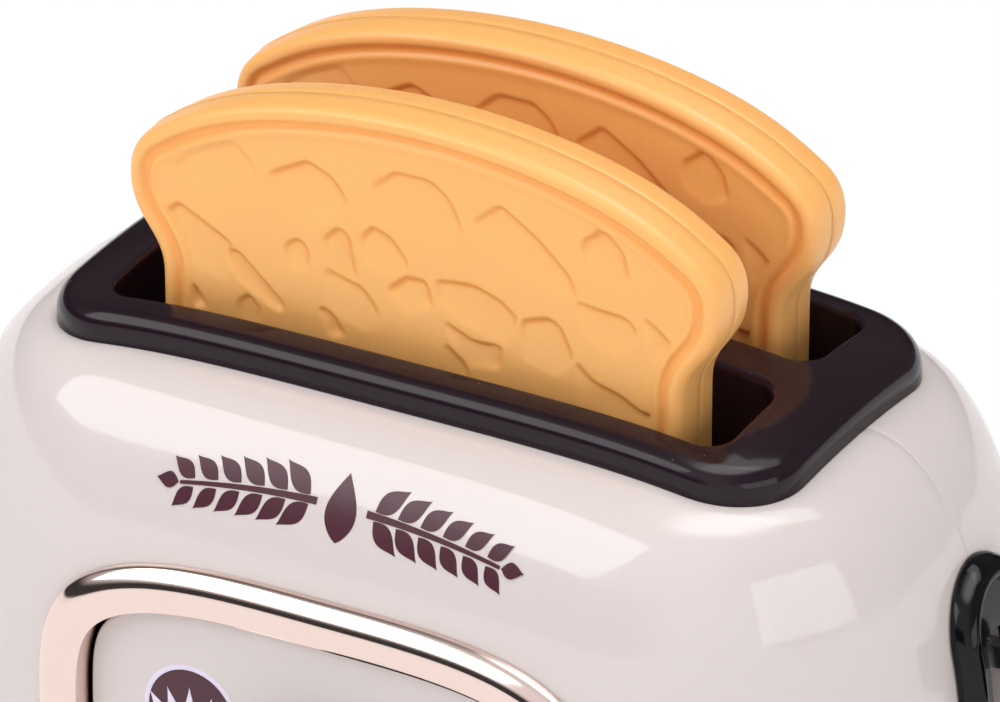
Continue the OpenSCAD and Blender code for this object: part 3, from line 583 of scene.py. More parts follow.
@once("node_groups", "moulded skin")
def moulded_skin(name):
    """Slow ripples, fine grain and faint dust of a moulded surface"""
    tree = bpy.data.node_groups.new(name, "ShaderNodeTree")
    for label, default in {"Colour": (0.8, 0.8, 0.8, 1), "Shade": (0.7, 0.7, 0.7, 1), "Ripple size": 40.0,
                           "Grain size": 900.0, "Mottle": 0.2, "Roughness": 0.2, "Roughness spread": 0.05,
                           "Dust": 0.1, "Grain depth": 0.2}.items():
        kind = "NodeSocketColor" if isinstance(default, tuple) else "NodeSocketFloat"
        tree.interface.new_socket(name=label, in_out="INPUT", socket_type=kind).default_value = default
    for label, kind in {"Colour": "Color", "Roughness": "Float", "Height": "Float"}.items():
        tree.interface.new_socket(name=label, in_out="OUTPUT", socket_type="NodeSocket" + kind)
    given, put = tree.nodes.new("NodeGroupInput").outputs, tree.nodes.new("NodeGroupOutput").inputs
    place = node(tree, "ShaderNodeTexCoord").outputs["Object"]
    slow = noise(tree, Vector=place, Scale=given["Ripple size"], Detail=3.0)
    fine = noise(tree, Vector=place, Scale=given["Grain size"], Detail=2.0)
    mid = noise(tree, Vector=place, Scale=260.0, Detail=5.0, Roughness=0.7)
    specks = node(tree, "ShaderNodeTexVoronoi", Vector=place, Scale=330.0).outputs["Distance"]
    dust = maths(tree, "MULTIPLY", spanned(tree, specks, (0.03, 0.06), (1.0, 0.0)),
                 spanned(tree, slow, (0.56, 0.62)))
    dusty = maths(tree, "MULTIPLY", dust, given["Dust"])
    body = mixed(tree, maths(tree, "MULTIPLY", slow, given["Mottle"]), given["Colour"], given["Shade"])
    spread = maths(tree, "MULTIPLY_ADD", mid, given["Roughness spread"], given["Roughness"])
    wire(tree, mixed(tree, dusty, body, (0.62, 0.60, 0.58, 1)), put["Colour"])
    wire(tree, maths(tree, "MULTIPLY_ADD", dusty, 0.5, spread), put["Roughness"])
    wire(tree, maths(tree, "MULTIPLY_ADD", fine, given["Grain depth"], slow), put["Height"])
    return tree


def plastic(name, base, shade=0.94, rough=0.2, spread=0.06, ripple=40.0, grain=900.0, grain_depth=0.2,
            mottle=0.25, dust=0.1, bump=0.02, coat=0.0, under=0.0, metal=0.0, gloss=0.5):
    """A moulded finish: colours as seen, its ripples' shade as one or as a share, bump in millimetres"""
    material, tree, shader = material_tree(name, base)
    shade = tuple(c * shade for c in base) if isinstance(shade, float) else shade
    skin = tree.nodes.new("ShaderNodeGroup")
    skin.node_tree = moulded_skin()
    for key, value in {"Colour": (*linear(base), 1), "Shade": (*linear(shade), 1), "Ripple size": ripple,
                       "Grain size": grain, "Mottle": mottle, "Roughness": rough, "Roughness spread": spread,
                       "Dust": dust, "Grain depth": grain_depth}.items():
        skin.inputs[key].default_value = value
    relief = node(tree, "ShaderNodeBump", Height=skin.outputs["Height"], Strength=0.6, Distance=bump * MM)
    wire(tree, skin.outputs["Colour"], shader.inputs["Base Color"])
    wire(tree, skin.outputs["Roughness"], shader.inputs["Roughness"])
    wire(tree, relief.outputs[0], shader.inputs["Normal"])
    given_shader(shader, Specular_IOR_Level=gloss, Coat_Weight=coat, Coat_Roughness=0.04, Metallic=metal)
    if under:
        given_shader(shader, Subsurface_Weight=under, Subsurface_Radius=(1.0, 0.45, 0.18),
                     Subsurface_Scale=0.003)
    return material


def metal(name, base, rough=0.2, brushed=0.0, tint=(0.9, 0.9, 0.9)):
    """A metal finish with fine drawing marks, clouded with a share of its own colour"""
    material, tree, shader = material_tree(name, base)
    place = node(tree, "ShaderNodeTexCoord").outputs["Object"]
    squeeze = node(tree, "ShaderNodeMapping", Vector=place, Scale=(1.0, 1.0, 0.06 if brushed else 1.0))
    marks = noise(tree, Vector=squeeze.outputs[0], Scale=1400.0, Detail=3.0)
    clouds = noise(tree, Vector=place, Scale=90.0, Detail=2.0)
    clouded = linear(tuple(c * share for c, share in zip(base, tint)))
    relief = node(tree, "ShaderNodeBump", Height=marks, Strength=0.05 + brushed, Distance=0.01 * MM)
    wire(tree, mixed(tree, clouds, (*linear(base), 1), (*clouded, 1)), shader.inputs["Base Color"])
    wire(tree, maths(tree, "MULTIPLY_ADD", marks, 0.08 + brushed * 0.2, rough), shader.inputs["Roughness"])
    wire(tree, relief.outputs[0], shader.inputs["Normal"])
    given_shader(shader, Metallic=1.0)
    return material


# Each finish: its maker, its colour as seen or by name, and its surface
FINISHES = {
    "cream gloss": (plastic, "cream", dict(
        shade=0.985, rough=0.05, spread=0.04, ripple=28.0, grain=700.0, grain_depth=0.03, mottle=0.3,
        dust=0.10, bump=0.06, coat=0.15)),
    "umber gloss": (plastic, "umber", dict(
        shade=0.8, rough=0.10, spread=0.06, ripple=60.0, grain=500.0, grain_depth=0.05, mottle=0.5,
        dust=0.25, bump=0.08, coat=0.12, gloss=0.22)),
    "black gloss": (plastic, "black", dict(
        shade=0.8, rough=0.08, spread=0.05, ripple=50.0, grain=600.0, grain_depth=0.05, mottle=0.4,
        dust=0.2, bump=0.08, coat=0.12, gloss=0.22)),
    "toast satin": (plastic, "toast", dict(
        shade=0.97, rough=0.30, spread=0.1, ripple=45.0, grain=800.0, grain_depth=0.12, mottle=0.35,
        dust=0.03, bump=0.06, under=0.2)),
    "printed brown": (plastic, "print", dict(
        shade=0.9, rough=0.25, spread=0.1, ripple=200.0, grain=1500.0, grain_depth=0.3, mottle=0.4,
        dust=0.0)),
    "printed pale": (plastic, (0.90, 0.86, 0.93), dict(rough=0.3, dust=0.0)),
    "black matte": (plastic, (0.09, 0.085, 0.09), dict(
        rough=0.45, spread=0.2, ripple=90.0, grain=1600.0, grain_depth=0.6, dust=0.2, bump=0.04)),
    "foot rubber": (plastic, (0.16, 0.155, 0.16), dict(
        rough=0.75, spread=0.2, ripple=120.0, grain=2500.0, grain_depth=0.8, dust=0.5, bump=0.06)),
    "ivory nylon": (plastic, (0.88, 0.85, 0.76), dict(rough=0.38, spread=0.15, ripple=80.0, under=0.1)),
    "board lacquer": (plastic, (0.10, 0.33, 0.20), dict(
        shade=(0.06, 0.22, 0.13), rough=0.25, ripple=900.0, grain=2400.0, mottle=0.7)),
    "lamp red": (plastic, (0.80, 0.10, 0.08), dict(rough=0.08, spread=0.05, under=0.2)),
    "switch orange": (plastic, (0.93, 0.42, 0.12), dict(rough=0.35, ripple=90.0)),
    "cell wrap": (plastic, (0.80, 0.62, 0.22), dict(
        shade=(0.20, 0.18, 0.17), ripple=60.0, mottle=0.2, metal=0.4)),
    "rose plating": (metal, "rose", dict(rough=0.05, tint=(1.0, 0.985, 0.97))),
    "drawn steel": (metal, (0.76, 0.77, 0.79), dict(rough=0.22, brushed=0.25)),
}


def finish_named(name):
    """One of the finishes, made the first time that it is asked for"""
    made = bpy.data.materials.get(name)
    if made:
        return made
    maker, base, surface = FINISHES[name]
    made = maker(name, tuple(getattr(sizes("colours"), base) if isinstance(base, str) else base), **surface)
    # the slices get painted shade in their creases and in the rim's groove
    if name == "toast satin":
        paint_crease_shade(made.node_tree)
    return made


def paint_crease_shade(tree):
    """Paints shade into the slices' colour: the deeper crumb colour, mixed in by the painted shade marked on
    each point
    """
    shader = tree.nodes["Principled BSDF"]
    base = shader.inputs["Base Color"].links[0].from_socket
    sunk = node(tree, "ShaderNodeAttribute", {"attribute_name": "sunk"}).outputs["Fac"]
    crumb = (*linear(tuple(sizes("colours").crumb)), 1)
    wire(tree, mixed(tree, sunk, base, crumb), shader.inputs["Base Color"])


# ------------------------------------------------------------------ base class of the operators

class PieceOperator:
    """What the builders have in common"""
    bl_options = {"REGISTER", "UNDO"}

    def execute(self, context):
        self.build(context)
        return {"FINISHED"}


# ------------------------------------------------------------------ stage

VIEW_DISTANCE = 1.3858              # camera to the crown's middle
VIEW_SHIFT = (0.00219, -0.01074)    # camera's shift to the right and up
FLOOR_HALF = 6.0
FLOOR_GLOW = 0.78                   # the floor's share of plain white, as the camera and reflections see it
LAMP_AIM = (0.0, -0.04, 0.115)


def direction(turn, rise):
    """Unit vector at an azimuth from -Y and a height angle, in degrees"""
    turn, rise = math.radians(turn), math.radians(rise)
    return Vector((math.sin(turn) * math.cos(rise), -math.cos(turn) * math.cos(rise), math.sin(rise)))


class TOASTER_OT_stage(PieceOperator, bpy.types.Operator):
    """Makes the floor, the soft studio light and the camera"""
    bl_idname = "toaster.stage"
    bl_label = "Stage"

    def build(self, context):
        s = sizes("studio")
        context.scene.view_settings.view_transform = "Standard"
        self.camera(context.scene, s)
        self.floor()
        self.room(context.scene, s)
        self.lamp("key softbox", (-41.5, 37.0), 1.25, (1.0, 0.64), 2.8 * s.key)
        self.lamp("side softbox", (75.0, 14.0), 1.25, (1.0, 0.50), 1.8 * s.side)
        self.lamp("back softbox", (165.0, 62.0), 1.6, (1.2, 0.5), 2.0 * s.key)

    def camera(self, scene, s):
        a, e = math.radians(s.azimuth), math.radians(s.elevation)
        back, right = direction(s.azimuth, s.elevation), Vector((math.cos(a), math.sin(a), 0))
        data = bpy.data.cameras.new("camera")
        data.sensor_width, data.lens = 36.0, s.lens
        data.clip_start, data.clip_end = 0.05, 50.0
        camera = shown("camera", data)
        camera.location = (Vector((*CENTRE, sizes("body").crown)) + back * VIEW_DISTANCE
                           + right * VIEW_SHIFT[0] + back.cross(right) * VIEW_SHIFT[1])
        camera.rotation_euler = (math.pi / 2 - e, 0, a)
        scene.camera = camera

    def floor(self):
        corners = [(x * FLOOR_HALF, y * FLOOR_HALF, 0) for x, y in ((-1, -1), (1, -1), (1, 1), (-1, 1))]
        floor = make_mesh("floor", corners, [(0, 1, 2, 3)], centred=False, recalc=False)
        base = tuple(sizes("colours").floor)
        material, tree, shader = material_tree("floor", base)
        given_shader(shader, Base_Color=(*linear(base), 1), Roughness=0.9, Specular_IOR_Level=0.0)
        glow = node(tree, "ShaderNodeEmission", Color=(1, 1, 1, 1), Strength=1.0)
        path = node(tree, "ShaderNodeLightPath").outputs
        seen = path["Is Camera Ray"]
        for kind in ("Is Glossy Ray", "Is Transmission Ray"):
            seen = maths(tree, "ADD", seen, path[kind], use_clamp=True)
        mix = node(tree, "ShaderNodeMixShader", i0=maths(tree, "MULTIPLY", seen, FLOOR_GLOW),
                   i1=shader.outputs[0], i2=glow.outputs[0])
        wire(tree, mix.outputs[0], tree.nodes["Material Output"].inputs["Surface"])
        floor.data.materials.append(material)

    def room(self, scene, s):
        """Soft light all round: what the glossy pieces reflect, and white behind the object"""
        world = bpy.data.worlds.new("room")
        world.use_nodes = True
        scene.world = world
        tree = world.node_tree
        back = tree.nodes["Background"]
        way = node(tree, "ShaderNodeTexCoord").outputs["Generated"]
        split = node(tree, "ShaderNodeSeparateXYZ", Vector=way)

        def ramp(axis, start, end):
            return spanned(tree, split.outputs[axis], (start, end), interpolation_type="SMOOTHSTEP")

        def mix(share, first, second):
            return mixed(tree, share, *((v, v, v * 1.02, 1) if isinstance(v, float) else v
                                        for v in (first, second)))

        above = mix(ramp("Y", -0.75, 0.1), 0.82, 0.14)
        above = mix(ramp("X", 0.3, 0.8), above, 0.26)
        above = mix(ramp("Z", 0.86, 0.97), above, mix(ramp("X", -0.3, 0.0), 0.3, 4.5))
        low = mix(ramp("X", -0.05, 0.25), 0.04, mix(ramp("Y", -0.7, -0.45), 0.9, 0.15))
        tone = mix(ramp("Z", 0.24, 0.44), low, above)
        tone = mix(ramp("Z", 0.0, 0.05), 1.0, tone)
        tone = mix(node(tree, "ShaderNodeLightPath").outputs["Is Camera Ray"], tone, 1.0)
        wire(tree, tone, back.inputs["Color"])
        back.inputs["Strength"].default_value = s.sky

    def lamp(self, name, way, far, size, strength):
        """A rectangle of light, seen this way from the aim"""
        data = bpy.data.lights.new(name, "AREA")
        data.shape, data.size, data.size_y = "RECTANGLE", size[0], size[1]
        data.energy = strength * size[0] * size[1] * math.pi
        lamp = shown(name, data)
        lamp.location = Vector(LAMP_AIM) + far * direction(*way)
        lamp.rotation_euler = direction(*way).to_track_quat("Z", "Y").to_euler()

# ------------------------------------------------------------------ shells

SCREW_SPOTS = [(x * MM, z * MM) for x in (-79, 79) for z in (24, 98)]   # the long shell screws
LEVER_Z, TRAVEL = 86 * MM, 40 * MM      # lever at rest, and its stroke
LEVER_SLOT = 3.5 * MM                   # half the width of its slot
CHIPPED_RINGS = range(57, 62)           # the shells' upper edge, after the outer rings


def outer_rings():
    """Rings of the body's outside, from its foot to the bezel"""
    return ([foot_ring(s, 0) for s in np.linspace(1, 0, 14)[:-1]]
            + [dome_ring(t, 0) for t in np.linspace(math.pi / 2, 0, 44)])


class TOASTER_OT_shells(PieceOperator, bpy.types.Operator):
    """Makes the cream front and rear shells with their parting line and openings"""
    bl_idname = "toaster.shells"
    bl_label = "Shells"

    def build(self, context):
        for name in ("front_shell", "rear_shell"):
            front = name == "front_shell"
            shell = self.half(front)
            middle = sizes("body").parting
            carve(shell, block((80 * MM, middle - LEVER_SLOT, LEVER_Z - TRAVEL - 4 * MM),
                               (100 * MM, middle + LEVER_SLOT, LEVER_Z + 4 * MM)))
            if front:
                carve(shell, self.window())
            else:
                self.screw_wells(shell)
            finish(shell, "cream gloss", "root", "cream_shell", name, name="body_" + name,
                   angle=28.0)

    def half(self, front):
        b = sizes("body")
        rings = outer_rings()
        hx, hy, r = opening()
        for step, drop in ((0.12, 0.02), (0.3, 0.1), (0.45, 0.25), (0.52, 0.5), (0.52, 1.4), (2.4, 1.4),
                           (2.4, 3.4)):
            plan = rounded_path(hx - step * MM, hy - step * MM, r - step * MM)
            rings.append(np.column_stack([plan, b.crown - fall(plan) - sizes("bezel").height - drop * MM]))
        rings += [dome_ring(t, b.wall) for t in np.linspace(math.radians(22), math.pi / 2, 20)]
        rings += [foot_ring(s, b.wall) for s in np.linspace(0, 1, 9)[1:]]
        self.chip(rings)
        shell = make_mesh("shell", *tube(rings))
        gap = 0.02 * MM
        plane = Vector((0, CENTRE[1] + b.parting + (-gap if front else gap), 0))

        def part(bm):
            cut = bmesh.ops.bisect_plane(
                bm, geom=bm.verts[:] + bm.edges[:] + bm.faces[:], dist=1e-7, plane_co=plane,
                plane_no=Vector((0, 1, 0)), clear_outer=front, clear_inner=not front)
            edges = [e for e in cut["geom_cut"] if isinstance(e, bmesh.types.BMEdge)]
            bmesh.ops.edgeloop_fill(bm, edges=edges)
            bmesh.ops.bevel(bm, geom=[e for e in edges if e.is_valid], offset=0.22 * MM,
                            offset_type="OFFSET", segments=2, profile=0.5, affect="EDGES",
                            clamp_overlap=True)

        edited(shell.data, part, face_outwards)
        return shell

    def chip(self, rings):
        """The small nick where the parting line meets the bezel at the lever's end"""
        for ring in (rings[k] for k in CHIPPED_RINGS):
            near = np.exp(-((ring[:, 1] - sizes("body").parting) / (1.3 * MM)) ** 2) * (ring[:, 0] > 0)
            ring[:, 0] += near * 0.5 * MM
            ring[:, 2] -= near * 0.25 * MM

    def window(self):
        """What is cut out of the front for the panel"""
        t = sizes("trim")
        outline = ring_outline(t.ring_metal - 2.8 * MM)
        return make_mesh("cutter", *capped([upright(outline, y * MM, t.ring_middle) for y in (-66, -35)]))

    def screw_wells(self, shell):
        """Posts that come in from the back, each with a well for a screw's head and a hole for its shank"""
        b = sizes("body")
        solid = make_mesh("solid", *capped(outer_rings()))
        posts = joined("posts", [rod_y(x, z, 4.5 * MM, b.parting + 2.5 * MM, b.half_depth)
                                 for x, z in SCREW_SPOTS])
        carve(posts, solid, "INTERSECT")
        carve(shell, posts, "UNION")
        for x, z in SCREW_SPOTS:
            carve(shell, rod_y(x, z, 3.3 * MM, b.parting + 6 * MM, b.half_depth + 1 * MM))
            carve(shell, rod_y(x, z, 1.7 * MM, b.parting - 1 * MM, b.parting + 7 * MM, 24))


# ------------------------------------------------------------------ bezel

class TOASTER_OT_bezel(PieceOperator, bpy.types.Operator):
    """Makes the domed top with its two slots, their rounded lips and the outer shoulder"""
    bl_idname = "toaster.bezel"
    bl_label = "Bezel"

    def build(self, context):
        b, z = sizes("body"), sizes("bezel")
        loops, drops, turns = [], [], np.radians([0, 15, 30, 45, 60, 75, 90])

        def around(half_x, half_y, radius, rounding, way, steps, middle=0.0):
            for a in turns:
                d = way * rounding * (1 - math.cos(a))
                loops.append(rounded_path(half_x + d, half_y + d, radius + d, steps, 0.06) + (0, middle))
                drops.append(rounding * (1 - math.sin(a)))

        edge_steps = (24, 70, 26)
        around(z.half_length, z.half_depth, z.radius, z.shoulder, -1, edge_steps)
        for side in (-1, 1):
            around(z.slot_half, z.slot_width / 2, z.slot_radius, z.lip, 1, (12, 80, 12),
                   side * z.slot_offset)
        slots = [len(turns), 2 * len(turns)]
        field = hexes((-z.half_length, -z.half_depth), (z.half_length, z.half_depth), 2.2 * MM)
        clear = np.full(len(field), True)
        for start in [0] + slots:
            border = loops[start + len(turns) - 1]
            clear &= (inside(field, border) == (start == 0)) & (edge_distance(field, border) > 1 * MM)
        field = field[clear]
        flat, tris = sheet(loops, field, loops[0], [loops[s] for s in slots])
        drop = np.concatenate([np.full(len(l), d) for l, d in zip(loops, drops)] + [np.zeros(len(field))])
        points = [np.column_stack([flat, b.crown - fall(flat) - drop])]
        faces = list(tris)
        starts = np.concatenate([[0], np.cumsum([len(l) for l in loops])])

        def ring(plan, heights):
            """Adds a ring of points and gives the number of its first"""
            points.append(np.column_stack([plan, np.broadcast_to(heights, len(plan))]))
            return sum(len(p) for p in points[:-1])

        outer, low = loops[0], b.crown - 22 * MM
        n, draw = len(outer), 2.5 * MM
        skirt = rounded_path(z.half_length - draw, z.half_depth - draw, z.radius - draw, edge_steps, 0.06)
        edge = b.crown - fall(outer) - z.height - 0.9 * MM
        chain = [int(starts[0]), ring(outer, edge), ring(skirt, edge), ring(skirt, low)]
        for first, second in zip(chain, chain[1:]):
            faces += strip(first, second, n)
        feet, wells = [chain[-1]], [loops[s] for s in slots]
        for s, path in zip(slots, wells):
            feet.append(ring(path, low))
            faces += strip(int(starts[s]), feet[-1], len(path))
        under_tris = sheet([skirt] + wells, np.zeros((0, 2)), skirt, wells)[1]
        index = np.concatenate([np.arange(start, start + len(l)) for start, l in zip(feet, [skirt] + wells)])
        faces += [tuple(int(index[i]) for i in t[::-1]) for t in under_tris]
        finish(make_mesh("bezel", np.vstack(points), faces), "umber gloss", "root",
               "umber_gloss", "top_bezel", name="slotted_top", angle=40.0)


# ------------------------------------------------------------------ slices

# Sunk places of the crumb: corners across and up from the floor, in millimetres, and depth as a share
PITS = [
    (1.0, (-28, 153), (-20.5, 157), (-15.5, 154.8), (-12.5, 151), (-17, 146), (-24.5, 145.5)),
    (0.9, (-49, 140.5), (-44.8, 143.8), (-34.5, 138.6), (-36, 131.5), (-46, 133.5)),
    (0.45, (-45.5, 150), (-42, 154.5), (-34, 157.3), (-29.5, 153), (-31, 147), (-40, 146)),
    (0.9, (-25, 141), (-22.3, 142.8), (-20.2, 141.2), (-20.2, 137.5), (-24.5, 136)),
    (0.9, (-18, 143.5), (-14.8, 146.6), (-12.4, 145), (-11.8, 141), (-11, 137.8), (-16, 137)),
    (0.9, (-11, 145.3), (-8.6, 148.2), (-5, 147), (-1.4, 142.8), (-3.6, 139.6), (-9.5, 140)),
    (1.5, (-36.2, 137), (-33.8, 137.8), (-24.6, 129.6), (-26.2, 128.2), (-34, 132.6)),
    (1.3, (-45.5, 130), (-42.5, 130.4), (-39.3, 126), (-43, 125)),
    (0.9, (-34.2, 128.4), (-31.8, 130.6), (-29.2, 128), (-30, 124), (-34, 124)),
    (1.1, (-18.8, 131.5), (-16, 130.8), (-13.2, 127), (-17, 126)),
    (1.0, (-6, 137.4), (-2.6, 140.6), (1.6, 140.8), (3, 136.6), (-1.6, 133.6)),
    (0.7, (-17.4, 138.6), (-10.2, 136.8), (-7, 133), (-9, 128.5), (-16.4, 130.5)),
    (0.8, (-8.6, 155.3), (-4.4, 158.8), (2.4, 158.8), (6, 156.2), (8.6, 151), (4.6, 146.4), (-4.6, 148.4)),
    (0.8, (10, 153.6), (15, 157.6), (22, 153.2), (28, 147.8), (29.2, 144), (20, 145.4), (12, 149.4)),
    (1.2, (29.6, 154.6), (33.6, 157.8), (37.4, 154.4), (38.6, 150), (35, 147.6), (30, 150)),
    (1.0, (3, 141.4), (10, 142.2), (15, 140.7), (18.3, 138.2), (17, 132.6), (8.4, 134.6), (3.6, 137)),
    (1.0, (18.8, 138), (24, 139.8), (26.4, 138.4), (28.6, 133.6), (26, 129.4), (19, 131)),
    (1.1, (28.8, 133.4), (32.2, 130.4), (37, 129.2), (41, 127), (44.4, 127.4), (43, 122), (30, 122)),
    (1.2, (4.5, 134.6), (10, 132.2), (15.6, 132.5), (15, 128), (8, 127)),
    (0.9, (28.6, 144), (33, 143.4), (38, 143.2), (40.2, 141), (37, 135.4), (31, 137.4)),
    (0.8, (41, 144.4), (45.8, 141), (46, 136), (42, 136.4)),
    (0.9, (4.8, 130.8), (9.2, 127.4), (10, 124), (5, 124)),
    (0.7, (-27, 122), (-20, 124), (-14, 121), (-15, 112), (-26, 114)),
    (0.8, (-46, 116), (-38, 121), (-31, 117), (-34, 104), (-44, 106)),
    (0.8, (-8, 121), (0, 124), (8, 119), (6, 108), (-6, 106)),
    (0.8, (14, 121), (22, 123), (29, 117), (26, 104), (15, 107)),
    (0.8, (33, 114), (41, 117), (46, 108), (42, 98), (34, 100)),
    (0.8, (-24, 107), (-15, 108), (-12, 98), (-20, 92), (-29, 97)),
    (0.8, (-4, 100), (7, 102), (12, 92), (2, 84), (-7, 90)),
    (0.8, (-44, 98), (-35, 99), (-31, 88), (-38, 80), (-46, 86)),
    (0.8, (19, 96), (30, 97), (34, 86), (24, 78), (16, 86)),
]


def bezier(a, b, c, d, count):
    t = np.linspace(0, 1, count, endpoint=False)[:, None]
    a, b, c, d = (np.array(p, float)[None] for p in (a, b, c, d))
    return (1 - t) ** 3 * a + 3 * (1 - t) ** 2 * t * b + 3 * (1 - t) * t ** 2 * c + t ** 3 * d


SLICE_FOOT = 70.3 * MM          # the rack's height, on which the slices stand


def slice_outline():
    """Outline of a slice, counter-clockwise, from its foot"""
    s = sizes("slice")
    crown, base, heel = sizes("body").crown, SLICE_FOOT, 6 * MM
    top, bulge, neck = crown + s.stands - base, crown + 16.9 * MM - base, crown + 4.5 * MM - base
    n, m = s.neck, s.wide

    def top_at(x):
        u = x / s.wide
        return top - s.fall * (0.695 * u ** 2 + 0.305 * u ** 6)

    x = s.wide * 0.9
    z = top_at(x)
    a = np.linspace(-math.pi / 2, 0, 30, endpoint=False)
    foot = np.column_stack([np.linspace(0, n - heel, 40, endpoint=False), np.zeros(40)])
    arc = np.column_stack([n - heel + heel * np.cos(a), heel + heel * np.sin(a)])
    side = bezier((n, neck - 4 * MM), (n, neck + 3 * MM), (m, bulge - 9 * MM), (m, bulge), 60)
    shoulder = bezier((m, bulge), (m, bulge + 5 * MM), (x + 3 * MM, z - 1.6 * MM), (x, z), 60)
    run = np.linspace(x, 0, 120, endpoint=False)
    half = np.vstack([foot, arc, side, shoulder, np.column_stack([run, top_at(run)])])
    other = half[::-1] * (-1, 1)
    whole = np.vstack([half, [[0, top]], other[:-1]])
    return smoothed(resample(whole, 1.0 * MM), times=2)


class TOASTER_OT_slices(PieceOperator, bpy.types.Operator):
    """Makes the two toy slices, each of two glued halves with a crust rim and a pitted crumb"""
    bl_idname = "toaster.slices"
    bl_label = "Slices"

    def build(self, context):
        halves = {"face": (-1, self.half(False)), "back": (1, self.half(True))}
        for body, middle in slice_places():
            for piece, (way, half) in halves.items():
                self.piece(body, piece, middle, way, half)

    def half(self, mirrored):
        """One half's points, across, up and out from the seam, its faces, and the share of painted shade at
        each point
        """
        s = sizes("slice")
        line = slice_outline()
        normal, n = inwards(line), len(line)
        t, side = s.thickness / 2 / MM, 4               # the first loops are the side's, under the sheet
        edge = 1.75                                     # rounding between the crust's side and its face
        profile = [(0.06, 0.0), (0.0, 0.07), (0.06, 1.6), (0.16, 3.2), (0.3, t - edge)]
        for a in np.radians([15, 30, 45, 60, 75, 90]):
            profile.append((0.3 + edge * (1 - math.cos(a)), t - edge + edge * math.sin(a)))
        profile += [(2.35, t - 0.04), (2.65, t - 0.2), (2.95, t - 0.5), (3.3, t - 0.78), (3.7, t - 0.88),
                    (4.1, t - 0.8), (4.4, t - 0.55), (4.65, t - 0.33), (4.95, t - 0.25), (5.3, t - 0.3),
                    (5.7, t - 0.38)]
        loops = [line + normal * w * MM for w, _ in profile]
        heights = [np.full(n, h * MM) for _, h in profile]
        last = loops[-1]
        field = hexes(last.min(0), last.max(0), s.grain)
        field = field[inside(field, last)]
        field = field[edge_distance(field, last[::2]) > 0.5 * MM]
        depth, crease_shade = self.pits(field, mirrored)
        border = np.clip(edge_distance(field, last[::2]) / (1.2 * MM), 0, 1)
        level = (t - 0.38) * MM - 0.12 * MM * (1 - (1 - border) ** 2)
        points, tris = sheet(loops[side:], field, loops[side], [])
        # Painted shade in the rim's groove: a share of deeper colour that grows with the groove's depth
        deep = [min(max((t - h) * 0.6 - 0.1, 0), 0.5) if w > 2.5 else 0.0 for w, h in profile[side:]]
        sunk = np.concatenate([np.repeat(deep, n), crease_shade])
        solid = [np.column_stack([points, np.concatenate(heights[side:] + [level - depth])])]
        solid += [np.column_stack([loops[k], heights[k]]) for k in range(side)]
        for w, h in ((1.8, 0.0), (2.3, t - 2.6)):
            solid.append(np.column_stack([line + normal * w * MM, np.full(n, h * MM)]))
        starts = [len(points) + n * k for k in range(6)] + [0]
        faces = [tuple(f) for f in tris]
        for first, second in ((3, 6), (0, 1), (1, 2), (2, 3), (0, 4), (4, 5)):
            faces += strip(starts[first], starts[second], n)
        faces.append(tuple(range(starts[5], starts[5] + n)))
        return np.vstack(solid), faces, np.concatenate([sunk, np.zeros(6 * n)])

    def pits(self, field, mirrored):
        """Depth of the pits, steep at their upper edges and running out below, and a band of painted shade
        along those upper edges
        """
        pit_depth = sizes("slice").pit_depth
        depth, crease_shade = np.zeros(len(field)), np.zeros(len(field))
        for share, *corners in PITS:
            line = np.array(corners, float) * MM - (0, SLICE_FOOT)
            if mirrored:
                line = line[::-1] * (-1, 1)
            line = counter_clockwise(smoothed(resample(line, 0.9 * MM)))
            where = np.flatnonzero((field > line.min(0)).all(1) & (field < line.max(0)).all(1))
            where = where[inside(field[where], line)]
            if not len(where):
                continue
            normal = inwards(line)
            upper = (normal[:, 1] + 0.25 * normal[:, 0]) < -0.1
            near = edge_distance(field[where], line, upper)
            far = edge_distance(field[where], line, ~upper)
            steep, soft = np.clip(near / (0.7 * MM), 0, 1), np.clip(far / (far + near + 1e-9), 0, 1)
            deep = share * pit_depth * (steep ** 2 * (3 - 2 * steep)) * soft ** 0.8
            depth[where] = np.maximum(depth[where], deep)
            # Painted shade: a narrow band of deeper colour just inside each pit's upper edge
            shade_band = np.exp(-((near - 0.5 * MM) / (0.7 * MM)) ** 2) * soft * min(share, 1.0) * 0.75
            crease_shade[where] = np.maximum(crease_shade[where], shade_band)
        return depth, crease_shade

    def piece(self, body, piece, middle, way, half):
        points, faces, sunk = half
        made = make_mesh("slice", upright(points[:, [0, 1]], middle + way * points[:, 2], SLICE_FOOT), faces)
        # the painted shade share of each point, which the slices' material reads
        marked(made, "sunk", sunk)
        finish(made, "toast satin", body, "toast_plastic", f"{body}_{piece}", angle=62.0,
               name=f"{body}_{piece}_moulding")


def slice_places():
    """The slices' bodies and where their seams lie"""
    offset = sizes("slice").offset
    return ("front_slice", -offset), ("rear_slice", offset)


def marked(made, name, values):
    """Gives each point of a mesh a value under a name"""
    mark = made.data.attributes.new(name, "FLOAT", "POINT")
    mark.data.foreach_set("value", np.array(values, np.float32))


class TOASTER_OT_flash(PieceOperator, bpy.types.Operator):
    """Makes the fine broken flash that the mould leaves along each slice's seam"""
    bl_idname = "toaster.flash"
    bl_label = "Seam flash"

    def build(self, context):
        line = slice_outline()
        line = line - inwards(line) * 0.02 * MM
        edges = [(i, (i + 1) % len(line)) for i in range(len(line))]
        for body, middle in slice_places():
            made = grown(f"{body}_flash", flash_tree(), upright(line, middle, SLICE_FOOT), edges,
                         "toast satin", Thickness=0.11 * MM, Seed=3 if middle < 0 else 8)
            finish(made, "toast satin", body, "toast_plastic", angle=180)


# ------------------------------------------------------------------ geometry node trees

KINDS = {float: "NodeSocketFloat", int: "NodeSocketInt", tuple: "NodeSocketVector"}


